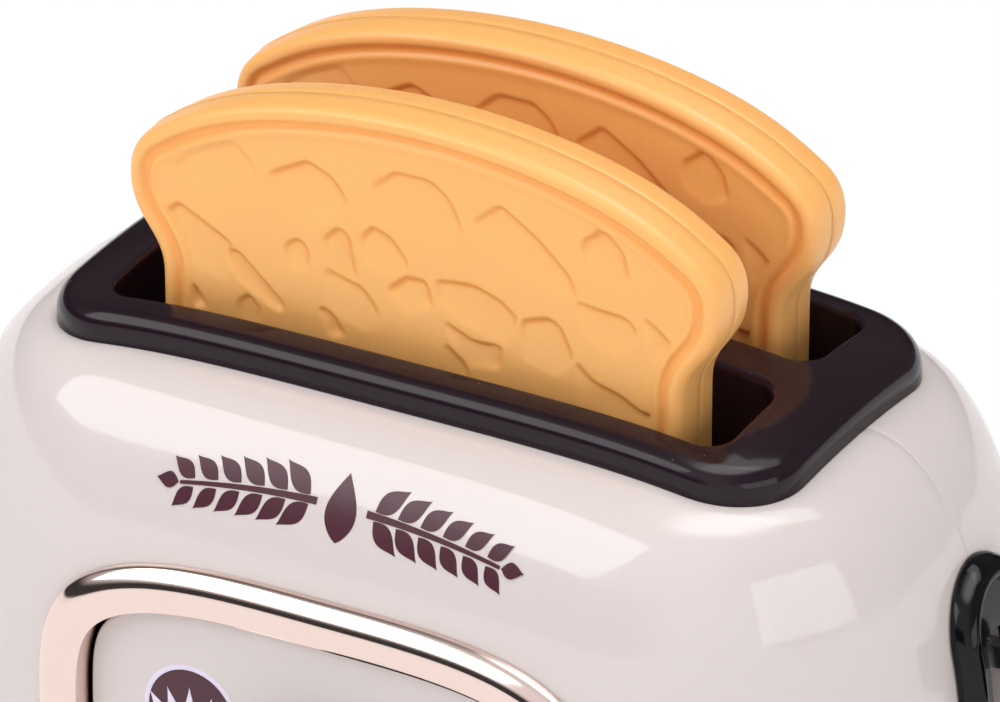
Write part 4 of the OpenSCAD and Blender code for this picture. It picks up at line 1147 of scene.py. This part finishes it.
def geometry_tree(name, **inputs):
    """A tree that takes geometry, these inputs and a material"""
    tree = bpy.data.node_groups.new(name, "GeometryNodeTree")
    tree.is_modifier = True
    add = tree.interface.new_socket
    add(name="Geometry", in_out="INPUT", socket_type="NodeSocketGeometry")
    for key, default in inputs.items():
        label, kind = key.replace("_", " "), KINDS[type(default)]
        add(name=label, in_out="INPUT", socket_type=kind).default_value = default
    add(name="Material", in_out="INPUT", socket_type="NodeSocketMaterial")
    add(name="Geometry", in_out="OUTPUT", socket_type="NodeSocketGeometry")
    return tree, tree.nodes.new("NodeGroupInput").outputs


def tree_end(tree, given, shape):
    """Real geometry with its material, as the tree's last steps"""
    real = node(tree, "GeometryNodeRealizeInstances", Geometry=shape).outputs[0]
    dressed = node(tree, "GeometryNodeSetMaterial", Geometry=real, Material=given["Material"])
    wire(tree, dressed.outputs[0], tree.nodes.new("NodeGroupOutput").inputs["Geometry"])
    return tree


def moved(tree, shape, by):
    return node(tree, "GeometryNodeTransform", Geometry=shape, Translation=by).outputs[0]


def instanced(tree, points, shape, **inputs):
    return node(tree, "GeometryNodeInstanceOnPoints", Points=points, Instance=shape,
                **inputs).outputs[0]


def combined(tree, way, shapes, start=None):
    """Closed meshes joined, or cut out of a start"""
    step = node(tree, "GeometryNodeMeshBoolean", {"operation": way, "solver": "MANIFOLD"})
    if start is not None:
        wire(tree, start, step.inputs["Mesh 1"])
    for shape in shapes:
        wire(tree, shape, step.inputs["Mesh 2"])
    return step.outputs[0]


def first_point(tree, given):
    """Where the first of the tree's points lies"""
    here = node(tree, "GeometryNodeInputPosition").outputs[0]
    return node(tree, "GeometryNodeSampleIndex", {"data_type": "FLOAT_VECTOR"}, Geometry=given["Geometry"],
                Value=here, Index=0).outputs[0]


def grow(made, tree, material, **values):
    """Runs a tree on an object with these inputs"""
    step = made.modifiers.new("grow", "NODES")
    step.node_group = tree
    sockets = {i.name: i.identifier for i in tree.interface.items_tree
               if i.item_type == "SOCKET" and i.in_out == "INPUT"}
    for key, value in {**values, "Material": finish_named(material)}.items():
        step[sockets[key.replace("_", " ")]] = value
    return evaluated(made)


def grown(name, tree, points, edges, material, **values):
    """A plain mesh grown by a tree from a few points or edges"""
    mesh = bpy.data.meshes.new(name)
    mesh.from_pydata(placed(points).tolist(), edges, [])
    made = grow(shown(name, mesh), tree, material, **values)
    if not made.data.polygons:
        raise RuntimeError(f"{name} grew nothing")
    edited(made.data, face_outwards)
    return made


@once("node_groups", "seam flash")
def flash_tree(name):
    """A thin closed line whose thickness wanders"""
    tree, given = geometry_tree(name, Thickness=0.0001, Seed=1)
    curve = node(tree, "GeometryNodeMeshToCurve", Mesh=given["Geometry"]).outputs[0]
    wander = node(tree, "ShaderNodeTexNoise", {"noise_dimensions": "4D"}, Scale=70.0, Detail=4.0,
                  W=given["Seed"]).outputs[0]
    thick = maths(tree, "MULTIPLY", spanned(tree, wander, (0.38, 0.72), (0.35, 1.25)), given["Thickness"])
    section = node(tree, "GeometryNodeCurvePrimitiveCircle", Resolution=6, Radius=1.0).outputs[0]
    swept = node(tree, "GeometryNodeCurveToMesh", Curve=curve, i1=section, Scale=thick)
    return tree_end(tree, given, swept.outputs[0])


@once("node_groups", "cross screws")
def screw_tree(name):
    """Cross-head screws, one at each point, heads towards the turned +Z"""
    tree, given = geometry_tree(name, Head_Radius=0.003, Head_Height=0.0022, Shank_Radius=0.0012,
                                Shank_Length=0.01, Turn=(0, 0, 0))
    head, high, shank = given["Head Radius"], given["Head Height"], given["Shank Length"]
    overlap = 0.4 * MM

    def times(value, by):
        return maths(tree, "MULTIPLY", value, by)

    low = times(maths(tree, "ADD", times(high, 2.0), maths(tree, "SUBTRACT", shank, overlap)), -0.5)
    parts = [("Cylinder", times(high, -0.7), dict(Vertices=40, Radius=head, Depth=times(high, 0.6))),
             ("Cone", times(high, -0.4), dict(Vertices=40, i3=times(head, 0.68), i4=head,
                                              Depth=times(high, 0.4))),
             ("Cylinder", low, dict(Vertices=24, Radius=given["Shank Radius"],
                                    Depth=maths(tree, "ADD", shank, overlap)))]
    whole = combined(tree, "UNION", [
        moved(tree, node(tree, "GeometryNodeMesh" + kind, **inputs).outputs["Mesh"], xyz(tree, Z=z))
        for kind, z, inputs in parts])
    wide, slim, deep = times(head, 1.15), times(head, 0.24), times(high, 1.1)
    bars = [node(tree, "GeometryNodeMeshCube", Size=xyz(tree, X=x, Y=y, Z=deep)).outputs[0]
            for x, y in ((wide, slim), (slim, wide))]
    cross = combined(tree, "DIFFERENCE", bars, whole)
    return tree_end(tree, given, instanced(tree, given["Geometry"], cross, Rotation=given["Turn"]))


@once("node_groups", "coil springs")
def spring_tree(name):
    """Round-wire springs that stand on the given points"""
    tree, given = geometry_tree(name, Radius=0.003, Wire=0.0009, Height=0.05, Turns=9.0)
    coil = node(tree, "GeometryNodeCurveSpiral", Resolution=28, Rotations=given["Turns"],
                Start_Radius=given["Radius"], End_Radius=given["Radius"], Height=given["Height"])
    section = node(tree, "GeometryNodeCurvePrimitiveCircle", Resolution=8,
                   Radius=maths(tree, "MULTIPLY", given["Wire"], 0.5))
    swept = node(tree, "GeometryNodeCurveToMesh", Curve=coil.outputs[0], i1=section.outputs[0],
                 Fill_Caps=True)
    return tree_end(tree, given, instanced(tree, given["Geometry"], swept.outputs[0]))


@once("node_groups", "rubber feet")
def feet_tree(name):
    """Round rubber feet with a softened edge, standing at the corners of a grid"""
    tree, given = geometry_tree(name, Span_X=0.09, Span_Y=0.07, Radius=0.006, Height=0.003)
    wide, edge = given["Radius"], 0.8 * MM
    tall = maths(tree, "SUBTRACT", given["Height"], edge)
    grid = node(tree, "GeometryNodeMeshGrid", i0=given["Span X"], i1=given["Span Y"], i2=2, i3=2)
    low = node(tree, "GeometryNodeMeshCone", Vertices=48, i3=wide,
               i4=maths(tree, "SUBTRACT", wide, edge), Depth=edge)
    top = node(tree, "GeometryNodeMeshCylinder", Vertices=48, Radius=wide, Depth=tall)
    up = xyz(tree, Z=maths(tree, "ADD", maths(tree, "MULTIPLY", tall, 0.5), edge))
    foot = combined(tree, "UNION", [low.outputs["Mesh"], moved(tree, top.outputs["Mesh"], up)])
    corners = instanced(tree, grid.outputs["Mesh"], foot)
    return tree_end(tree, given, moved(tree, corners, first_point(tree, given)))


@once("node_groups", "dial ticks")
def ticks_tree(name):
    """Raised bars round part of a circle"""
    tree, given = geometry_tree(name, Count=11, Radius=0.017, Length=0.002, Width=0.0006, Height=0.0003,
                                From=0.0, Step=0.4)
    row = node(tree, "GeometryNodeMeshLine", {"mode": "OFFSET"}, Count=given["Count"], Offset=(0, 0, 0))
    order = node(tree, "GeometryNodeInputIndex").outputs[0]
    turn = maths(tree, "MULTIPLY_ADD", order, given["Step"], given["From"])
    way = xyz(tree, X=maths(tree, "COSINE", turn), Z=maths(tree, "SINE", turn))
    spot = vectors(tree, "ADD", vectors(tree, "SCALE", way, Scale=given["Radius"]), first_point(tree, given))
    ring = node(tree, "GeometryNodeSetPosition", Geometry=row.outputs[0], Position=spot).outputs[0]
    size = xyz(tree, X=given["Length"], Y=given["Height"], Z=given["Width"])
    bar = node(tree, "GeometryNodeMeshCube", Size=size).outputs[0]
    spin = xyz(tree, Y=maths(tree, "MULTIPLY", turn, -1.0))
    return tree_end(tree, given, instanced(tree, ring, bar, Rotation=spin))


@once("node_groups", "flutes")
def flute_tree(name):
    """Draws a turned skirt in by grooves all round, where its grip mark says"""
    tree, given = geometry_tree(name, Count=24, Depth=0.0004, Centre=(0, 0, 0))
    here = node(tree, "GeometryNodeInputPosition").outputs[0]
    flat = vectors(tree, "MULTIPLY", vectors(tree, "SUBTRACT", here, given["Centre"]), (1, 0, 1))
    parts = node(tree, "ShaderNodeSeparateXYZ", Vector=flat).outputs
    turn = maths(tree, "ARCTAN2", parts["Z"], parts["X"])
    wave = maths(tree, "COSINE", maths(tree, "MULTIPLY", turn, given["Count"]))
    groove = spanned(tree, wave, (-0.2, 1.0), interpolation_type="SMOOTHSTEP")
    grip = node(tree, "GeometryNodeInputNamedAttribute", {"data_type": "FLOAT"}, Name="grip").outputs[0]
    deep = maths(tree, "MULTIPLY", maths(tree, "MULTIPLY", groove, grip), given["Depth"])
    shift = vectors(tree, "SCALE", vectors(tree, "NORMALIZE", flat),
                    Scale=maths(tree, "MULTIPLY", deep, -1.0))
    cut = node(tree, "GeometryNodeSetPosition", Geometry=given["Geometry"], Offset=shift)
    return tree_end(tree, given, cut.outputs[0])


# ------------------------------------------------------------------ ring, panel and print

OVAL_POWER = 2 / 3.5            # how square the ring's oval is
STATIONS = 288                  # points round the ring
DIAL_Z = 60 * MM


def ring_outline(inset):
    """Even stations round the ring's oval, drawn in from its outer edge"""
    t = sizes("trim")
    a = np.linspace(0, 2 * math.pi, 4000, endpoint=False)
    x, z = (half * np.sign(v) * np.abs(v) ** OVAL_POWER
            for half, v in ((t.ring_half, np.cos(a)), (t.ring_rise, np.sin(a))))
    even = smoothed(resample(np.column_stack([x, z]), count=STATIONS), middle=6, times=3)
    return even + inwards(even) * inset


def smooth_section(points, count=5):
    """A curve through points"""
    p = np.array(points, float)
    p = np.vstack([2 * p[0] - p[1], p, 2 * p[-1] - p[-2]])
    out = []
    for i in range(1, len(p) - 2):
        for t in np.linspace(0, 1, count, endpoint=False):
            a, b, c, d = p[i - 1:i + 3]
            out.append(0.5 * (2 * b + (c - a) * t + (2 * a - 5 * b + 4 * c - d) * t * t
                              + (3 * b - a - 3 * c + d) * t ** 3))
    return np.array(out + [p[-2]])


class TOASTER_OT_ring(PieceOperator, bpy.types.Operator):
    """Makes the plated oval ring with its bead, groove and inner slope"""
    bl_idname = "toaster.ring"
    bl_label = "Ring"

    def build(self, context):
        t = sizes("trim")
        bead = smooth_section([(0.02, 0.7), (0.1, 1.0), (0.26, 1.25), (0.55, 1.51), (0.95, 1.8), (1.4, 2.06),
                               (1.9, 2.28), (2.4, 2.44), (3.0, 2.56), (3.6, 2.6), (4.0, 2.58), (4.35, 2.48)])
        slope = smooth_section([(4.7, 2.34), (5.7, 1.92), (6.7, 1.5), (7.6, 1.1)], 3)
        section = [(0.0, 0.12), *bead, *slope, (7.82, 0.92), (7.9, 0.6), (7.9, -2.9), (7.3, -2.9),
                   (7.0, 0.4), (5.2, 0.12)]
        across, over = t.ring_metal / 7.9, t.ring_bead / 2.6       # the section's width and height
        rings = []
        for inset, proud in section:
            plan = ring_outline(inset * across)
            face = front_y(plan[:, 0], t.ring_middle + plan[:, 1])
            rings.append(upright(plan, -face - proud * over, t.ring_middle))
        finish(make_mesh("ring", *tube(rings)), "rose plating", "root", "rose_metal",
               "front_ring", name="plated_ring", angle=35.0)


class TOASTER_OT_panel(PieceOperator, bpy.types.Operator):
    """Makes the recessed panel with a softened edge"""
    bl_idname = "toaster.panel"
    bl_label = "Panel"

    def build(self, context):
        t = sizes("trim")
        face, edge = panel_face(), 0.7 * MM
        gap = t.ring_metal + 0.5 * MM
        rings = [(gap + 4 * MM, 4 * MM), (gap + 4 * MM, 2.2 * MM), (gap, 2.2 * MM), (gap, edge)]
        rings += [(gap + edge * (1 - math.cos(a)), edge * (1 - math.sin(a)))
                  for a in np.radians([22, 45, 68, 90])]
        rings.append((gap + 4 * MM, 0.0))
        panel = make_mesh("panel", *capped([upright(ring_outline(inset), back - face, t.ring_middle)
                                            for inset, back in rings]))
        carve(panel, rod_y(0.0, DIAL_Z, 4.05 * MM, -face - 1 * MM, -face + 6 * MM, 64))
        finish(panel, "cream gloss", "root", "cream_shell", "front_panel",
               name="recessed_panel", angle=30.0)


def leaf(x, z, long_, width, turn, tip=1.3):
    """Outline of a leaf that starts at a point and runs along a direction"""
    u = np.linspace(0, 1, 22)
    half = width / 2 * np.sin(math.pi * u ** 0.8) ** tip
    upper, lower = (np.column_stack([u * long_, way * half]) for way in (1, -1))
    line = np.vstack([[[0, 0]], lower[1:-1], [[long_, 0]], upper[::-1][1:-1]])
    c, s = math.cos(turn), math.sin(turn)
    return line @ np.array([[c, s], [-s, c]]) + (x, z)


class TOASTER_OT_print(PieceOperator, bpy.types.Operator):
    """Prints a plain sprig on the upper front and a small medallion on the panel"""
    bl_idname = "toaster.print"
    bl_label = "Print"

    def build(self, context):
        face, spot = panel_face(), np.array([-25.5, 68.5])

        def front(x, z):
            return -front_y(x, z)

        def flat(x, z):
            return np.full(np.shape(x), -face)

        ears = [leaf(spot[0] + 1.6 * i - 0.2, spot[1] - 5.2 + abs(i) * 0.6, 10.2 - 1.2 * abs(i), 2.3,
                     math.radians(90 - 17 * i)) for i in (-2, -1, 0, 1, 2)]
        brown, pale = ("printed brown", "umber_gloss"), ("printed pale", "cream_shell")
        self.inlay("printed_sprig", self.sprig(), front, 0.06, *brown)
        self.inlay("printed_medallion_rim", [circle(8.9, 64) + spot], flat, 0.05, *pale)
        self.inlay("printed_medallion", [circle(8.0, 64) + spot], flat, 0.10, *brown)
        self.inlay("printed_medallion_leaves", ears, flat, 0.15, *pale)

    def sprig(self):
        """Leaves in pairs along two arched stems that meet in a bud, in millimetres"""
        half, rise, start, tilted = 32.0, 3.0, 107.6, math.radians(38)

        def arch(x):
            return start + rise * (1 - (x / half) ** 2)

        shapes = []
        for side in (-1, 1):
            xs = np.linspace(4.6, 29.5, 40) * side
            stem = np.column_stack([xs, arch(xs)])
            wide = np.linspace(0.55, 0.25, 40)[:, None]
            shapes.append(np.vstack([stem - (0, 1) * wide, (stem + (0, 1) * wide)[::-1]]))
            for k, x in enumerate(np.linspace(6.0, 27.0, 6) * side):
                along = math.atan(-2 * rise * x / half ** 2) + (0.0 if side > 0 else math.pi)
                for up in (-1, 1):
                    shapes.append(leaf(x, arch(x) + up * 0.7, 6.6 - 0.35 * k, 3.1 - 0.12 * k,
                                       along + side * up * tilted))
            shapes.append(leaf(29.8 * side, arch(29.8), 4.0, 2.4, 0.0 if side > 0 else math.pi))
        shapes.append(leaf(0, 105.2, 10.2, 5.6, math.pi / 2, tip=1.0))
        return shapes

    def inlay(self, name, outlines, surface, proud, material, slot):
        """Thin closed shapes, in millimetres, that follow a surface"""
        points, faces, start = [], [], 0
        for line in outlines:
            line = counter_clockwise(line * MM)
            field = hexes(line.min(0), line.max(0), 1.3 * MM)
            if len(field):
                field = field[inside(field, line)]
            if len(field):
                field = field[edge_distance(field, line) > 0.3 * MM]
            flat, tris = sheet([line], field, line, [])
            n = len(flat)
            points += [upright(flat, surface(*flat.T) - lift * MM) for lift in (proud, -0.15)]
            faces += [tuple(start + i for i in t) for t in tris]
            faces += [tuple(start + n + i for i in t[::-1]) for t in tris]
            faces += strip(start, start + n, len(line))
            start += 2 * n
        finish(make_mesh(name, np.vstack(points), faces), material, "root", slot, angle=40.0)


class TOASTER_OT_dial(PieceOperator, bpy.types.Operator):
    """Makes the fluted timer dial, its pointer and the ticks round it"""
    bl_idname = "toaster.dial"
    bl_label = "Dial"

    def build(self, context):
        t = sizes("trim")
        face, unit = panel_face(), t.dial_radius / 13.0         # the profile's radius is 13
        tip = face + 11.5 * MM
        profile = [(3.0, 0.5, 0.0), (6.2, 0.25, 0.0), (8.4, 0.0, 0.0), (9.4, 0.04, 0.0), (10.4, 0.25, 0.0),
                   (11.2, 0.75, 0.0), (11.8, 1.5, 0.0)]             # radius, distance behind the tip, grip
        for back in np.linspace(2.2, 10.2, 13):
            grip = min(1.0, (back - 1.6) / 1.6, (10.6 - back) / 0.8)
            profile.append((12.0 + min(1, (back - 1.6) / 8.6), back, max(grip, 0.0)))
        profile += [(13.0, 11.0, 0.0), (4.0, 11.0, 0.0), (4.0, 26.0, 0.0)]
        around = circle(1.0, 240)
        dial = make_mesh("dial", *capped([upright(around * radius * unit, -tip + back * MM, DIAL_Z)
                                          for radius, back, _ in profile]))
        marked(dial, "grip", np.repeat([grip for _, _, grip in profile], len(around)))
        grow(dial, flute_tree(), "umber gloss", Count=t.flutes, Depth=0.55 * MM,
             Centre=(CENTRE[0], 0.0, DIAL_Z))
        carve(dial, block((-0.9 * MM, -tip - 1 * MM, DIAL_Z + 4.2 * MM),
                          (0.9 * MM, -tip + 0.75 * MM, DIAL_Z + 10.6 * MM)))
        finish(dial, "umber gloss", "dial", "umber_gloss", "timer_dial", name="fluted_dial", angle=34.0)
        line = block((-0.85 * MM, -tip + 0.35 * MM, DIAL_Z + 4.25 * MM),
                     (0.85 * MM, -tip + 0.7 * MM, DIAL_Z + 10.5 * MM))
        finish(line, "printed pale", "dial", "cream_shell", name="dial_pointer", angle=30.0)
        ticks = grown("dial_ticks", ticks_tree(), [(0, -face - 0.02 * MM, DIAL_Z)], [], "printed brown",
                      Count=10, Radius=16.2 * MM, Length=2.0 * MM, Width=0.6 * MM, Height=0.24 * MM,
                      From=math.radians(90), Step=math.radians(-30))
        finish(ticks, "printed brown", "root", "umber_gloss", angle=30.0)


# ------------------------------------------------------------------ lever

class TOASTER_OT_lever(PieceOperator, bpy.types.Operator):
    """Makes the oblong lever housing and the ridged knob"""
    bl_idname = "toaster.lever"
    bl_label = "Lever"

    def build(self, context):
        self.housing()
        self.knob()

    def housing(self):
        t, b = sizes("trim"), sizes("body")
        high = t.housing_proud / MM
        section = [(inset, 0.15) for inset in (t.housing_half / MM - 1, 8.2, 5.5, 2.7, 0.1)]
        rim = [(0.02, 0.35), (0.25, 0.64), (0.75, 0.85), (1.35, 0.965), (2.0, 1.0), (2.65, 0.955),
               (3.2, 0.83), (3.65, 0.62), (4.0, 0.45)]
        section += [*smooth_section([(0.0, 0.5)] + [(inset, high * share) for inset, share in rim], 4)]
        section += [(4.15, 1.66)] + [(inset, 1.6) for inset in (4.4, 5.5, 7.0, 8.6, 10.2)]
        rings = []
        for inset, lift in section:
            w = inset * MM
            plan = rounded_path(t.housing_half - w, t.housing_rise - w, t.housing_half - w, (26, 0, 34), 0)
            y, z = b.parting + plan[:, 0], t.housing_middle + plan[:, 1]
            rings.append(np.column_stack([end_x(y, z) + lift * MM, y, z]))
        housing = make_mesh("housing", *capped(rings))
        carve(housing, block((81 * MM, b.parting - LEVER_SLOT, LEVER_Z - TRAVEL - 4 * MM),
                             (102 * MM, b.parting + LEVER_SLOT, LEVER_Z + 4 * MM)))
        finish(housing, "black gloss", "root", "black_gloss", "lever_housing",
               name="lever_surround", angle=38.0)

    def knob(self):
        t, b = sizes("trim"), sizes("body")
        x0 = b.half_length + t.housing_proud + 1.5 * MM
        deep, wide, high = 10.4 * MM, 10 * MM, 5.5 * MM
        near, far = 0.12, 0.74                          # where its rounded ends stop, as shares of its depth
        first, last, pitch = 0.16, 0.72, 0.112          # the ridges, likewise
        rings = []
        for u in np.concatenate([np.linspace(0, near, 8), np.linspace(0.14, far, 46),
                                 far + (1 - far) * np.sin(np.radians(np.linspace(4, 90, 16)))]):
            draw = 0.0
            if u < near:
                draw = 1.4 * MM * (1 - math.sqrt(max(0.0, 1 - (1 - u / near) ** 2)))
            elif u > far:
                draw = 2.7 * MM * (1 - math.sqrt(max(0.0, 1 - ((u - far) / (1 - far)) ** 2)))
            taper = 0.6 * MM * (1 - u)
            hy, hz = wide - draw - taper, high - draw - taper
            plan = rounded_path(hy, hz, min(3.0 * MM, hz * 0.75), (16, 26, 10), 0.05)
            up = np.clip((plan[:, 1] / hz - 0.55) / 0.35, 0, 1)
            up = up * np.clip((wide - 1.6 * MM - np.abs(plan[:, 0])) / (1.2 * MM), 0, 1)
            ridge = 0.0
            if first < u < last:
                ridge = 0.38 * MM * (0.5 - 0.5 * math.cos(2 * math.pi * (u - first) / pitch))
            rings.append(np.column_stack([np.full(len(plan), x0 + u * deep), b.parting + plan[:, 0],
                                          LEVER_Z + plan[:, 1] - up * ridge]))
        knob = make_mesh("knob", *capped(rings))
        carve(knob, block((x0 - 1 * MM, b.parting - 1.6 * MM, LEVER_Z - 2.1 * MM),
                          (x0 + 7.5 * MM, b.parting + 1.6 * MM, LEVER_Z + 2.1 * MM)))
        finish(knob, "black gloss", "carriage", "black_gloss", "lever_knob", name="ridged_knob",
               angle=40.0)


# ------------------------------------------------------------------ screws, feet and the CAD parts' finishes

class TOASTER_OT_screws(PieceOperator, bpy.types.Operator):
    """Makes the cross-head screws of the shells, the base, the door and the board"""
    bl_idname = "toaster.screws"
    bl_label = "Screws"

    def build(self, context):
        low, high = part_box("board_screws")
        edge, half = 2 * MM, math.pi / 2
        spots = {
            "shell_screws": [(x, sizes("body").parting + 8.2 * MM, z) for x, z in SCREW_SPOTS],
            "base_screws": [(x * MM, y * MM, 3.6 * MM) for x in (-63, 63) for y in (-34.5, 34.5)],
            "door_screw": [(-3.4 * MM, 0, 1.8 * MM)],
            "board_screws": [(x - CENTRE[0], low.y - CENTRE[1], z) for x in (low.x + edge, high.x - edge)
                             for z in (low.z + edge, high.z - edge)],
        }
        for name, turn, radius, height, shank, long_ in (
                ("shell_screws", -half, 3.0, 2.2, 1.5, 14.8), ("base_screws", math.pi, 3.0, 2.2, 1.4, 11.6),
                ("door_screw", math.pi, 2.8, 1.2, 1.2, 7.6), ("board_screws", half, 2.0, 1.6, 1.0, 5.4)):
            made = grown("cross_" + name, screw_tree(), spots[name], [], "drawn steel",
                         Head_Radius=radius * MM, Head_Height=height * MM, Shank_Radius=shank * MM,
                         Shank_Length=long_ * MM, Turn=(turn, 0, 0))
            finish(made, "drawn steel", "root", "steel", name, angle=30.0)


class TOASTER_OT_springs(PieceOperator, bpy.types.Operator):
    """Makes the two return springs, coiled at one fixed length"""
    bl_idname = "toaster.springs"
    bl_label = "Springs"

    def build(self, context):
        low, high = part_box("return_springs")
        wide, thick, tall = (high.x - low.x) / 2, 0.9 * MM, high.z - low.z
        spots = [((low.x + high.x) / 2 - CENTRE[0], y - CENTRE[1], low.z + thick / 2)
                 for y in (low.y + wide, high.y - wide)]
        springs = grown("coiled_springs", spring_tree(), spots, [], "drawn steel", Radius=wide - thick / 2,
                        Wire=thick, Height=tall - thick, Turns=9.0)
        finish(springs, "drawn steel", "root", "steel", "return_springs", angle=180)
        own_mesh(springs)


class TOASTER_OT_feet(PieceOperator, bpy.types.Operator):
    """Makes the four rubber feet"""
    bl_idname = "toaster.feet"
    bl_label = "Feet"

    def build(self, context):
        feet = grown("rubber_feet", feet_tree(), [(0, 0, 0)], [], "foot rubber", Span_X=92 * MM,
                     Span_Y=73 * MM, Radius=6 * MM, Height=3 * MM)
        finish(feet, "foot rubber", "root", "foot_rubber", "feet", angle=30.0)


class TOASTER_OT_finishes(PieceOperator, bpy.types.Operator):
    """Gives the parts that keep their CAD shapes their finishes"""
    bl_idname = "toaster.finishes"
    bl_label = "Finishes"

    def build(self, context):
        choices = {
            "umber gloss": ("base_plate", "battery_door"),
            "black matte": ("toast_chamber", "carriage", "dial_switch", "speaker", "power_switch",
                            "start_switch"),
            "drawn steel": ("lever_arm", "guide_rods", "latch_pin", "latch_spring", "timer_motor",
                            "cam_axle", "battery_contacts"),
            "ivory nylon": ("latch_rocker", "motor_pinion", "cam_gear"),
            "board lacquer": ("circuit_board",), "lamp red": ("glow_lamps",),
            "switch orange": ("power_slider",), "cell wrap": ("batteries",),
        }
        for finish_name, names in choices.items():
            for made in (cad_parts[name] for name in names):
                if not made.material_slots:
                    made.data.materials.append(None)
                for place in made.material_slots:
                    place.material = finish_named(finish_name)


# ------------------------------------------------------------------ the add-on

OPERATORS = (TOASTER_OT_stage, TOASTER_OT_shells, TOASTER_OT_bezel, TOASTER_OT_slices, TOASTER_OT_flash,
             TOASTER_OT_ring, TOASTER_OT_panel, TOASTER_OT_print, TOASTER_OT_dial, TOASTER_OT_lever,
             TOASTER_OT_screws, TOASTER_OT_springs, TOASTER_OT_feet, TOASTER_OT_finishes)


class TOASTER_PT_builder(bpy.types.Panel):
    """Lists the builders in the sidebar"""
    bl_idname = "TOASTER_PT_builder"
    bl_label = "Toy Toaster"
    bl_space_type = "VIEW_3D"
    bl_region_type = "UI"
    bl_category = "Toaster"

    def draw(self, context):
        column = self.layout.column(align=True)
        for operator in OPERATORS:
            column.operator(operator.bl_idname)
        for name, group in GROUPS.items():
            box = self.layout.box()
            box.label(text=group.__doc__)
            for key in group.__annotations__:
                box.prop(getattr(context.scene, name), key)


CLASSES = (*GROUPS.values(), *OPERATORS, TOASTER_PT_builder)


def register():
    for made in CLASSES:
        bpy.utils.register_class(made)
    for name, group in GROUPS.items():
        setattr(bpy.types.Scene, name, PointerProperty(type=group, name=name, description=group.__doc__))


def unregister():
    for name in GROUPS:
        delattr(bpy.types.Scene, name)
    for made in reversed(CLASSES):
        bpy.utils.unregister_class(made)


def main():
    register()
    for operator in OPERATORS:
        group, name = operator.bl_idname.split(".")
        getattr(getattr(bpy.ops, group), name)()
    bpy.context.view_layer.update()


if __name__ == "__main__":
    main()
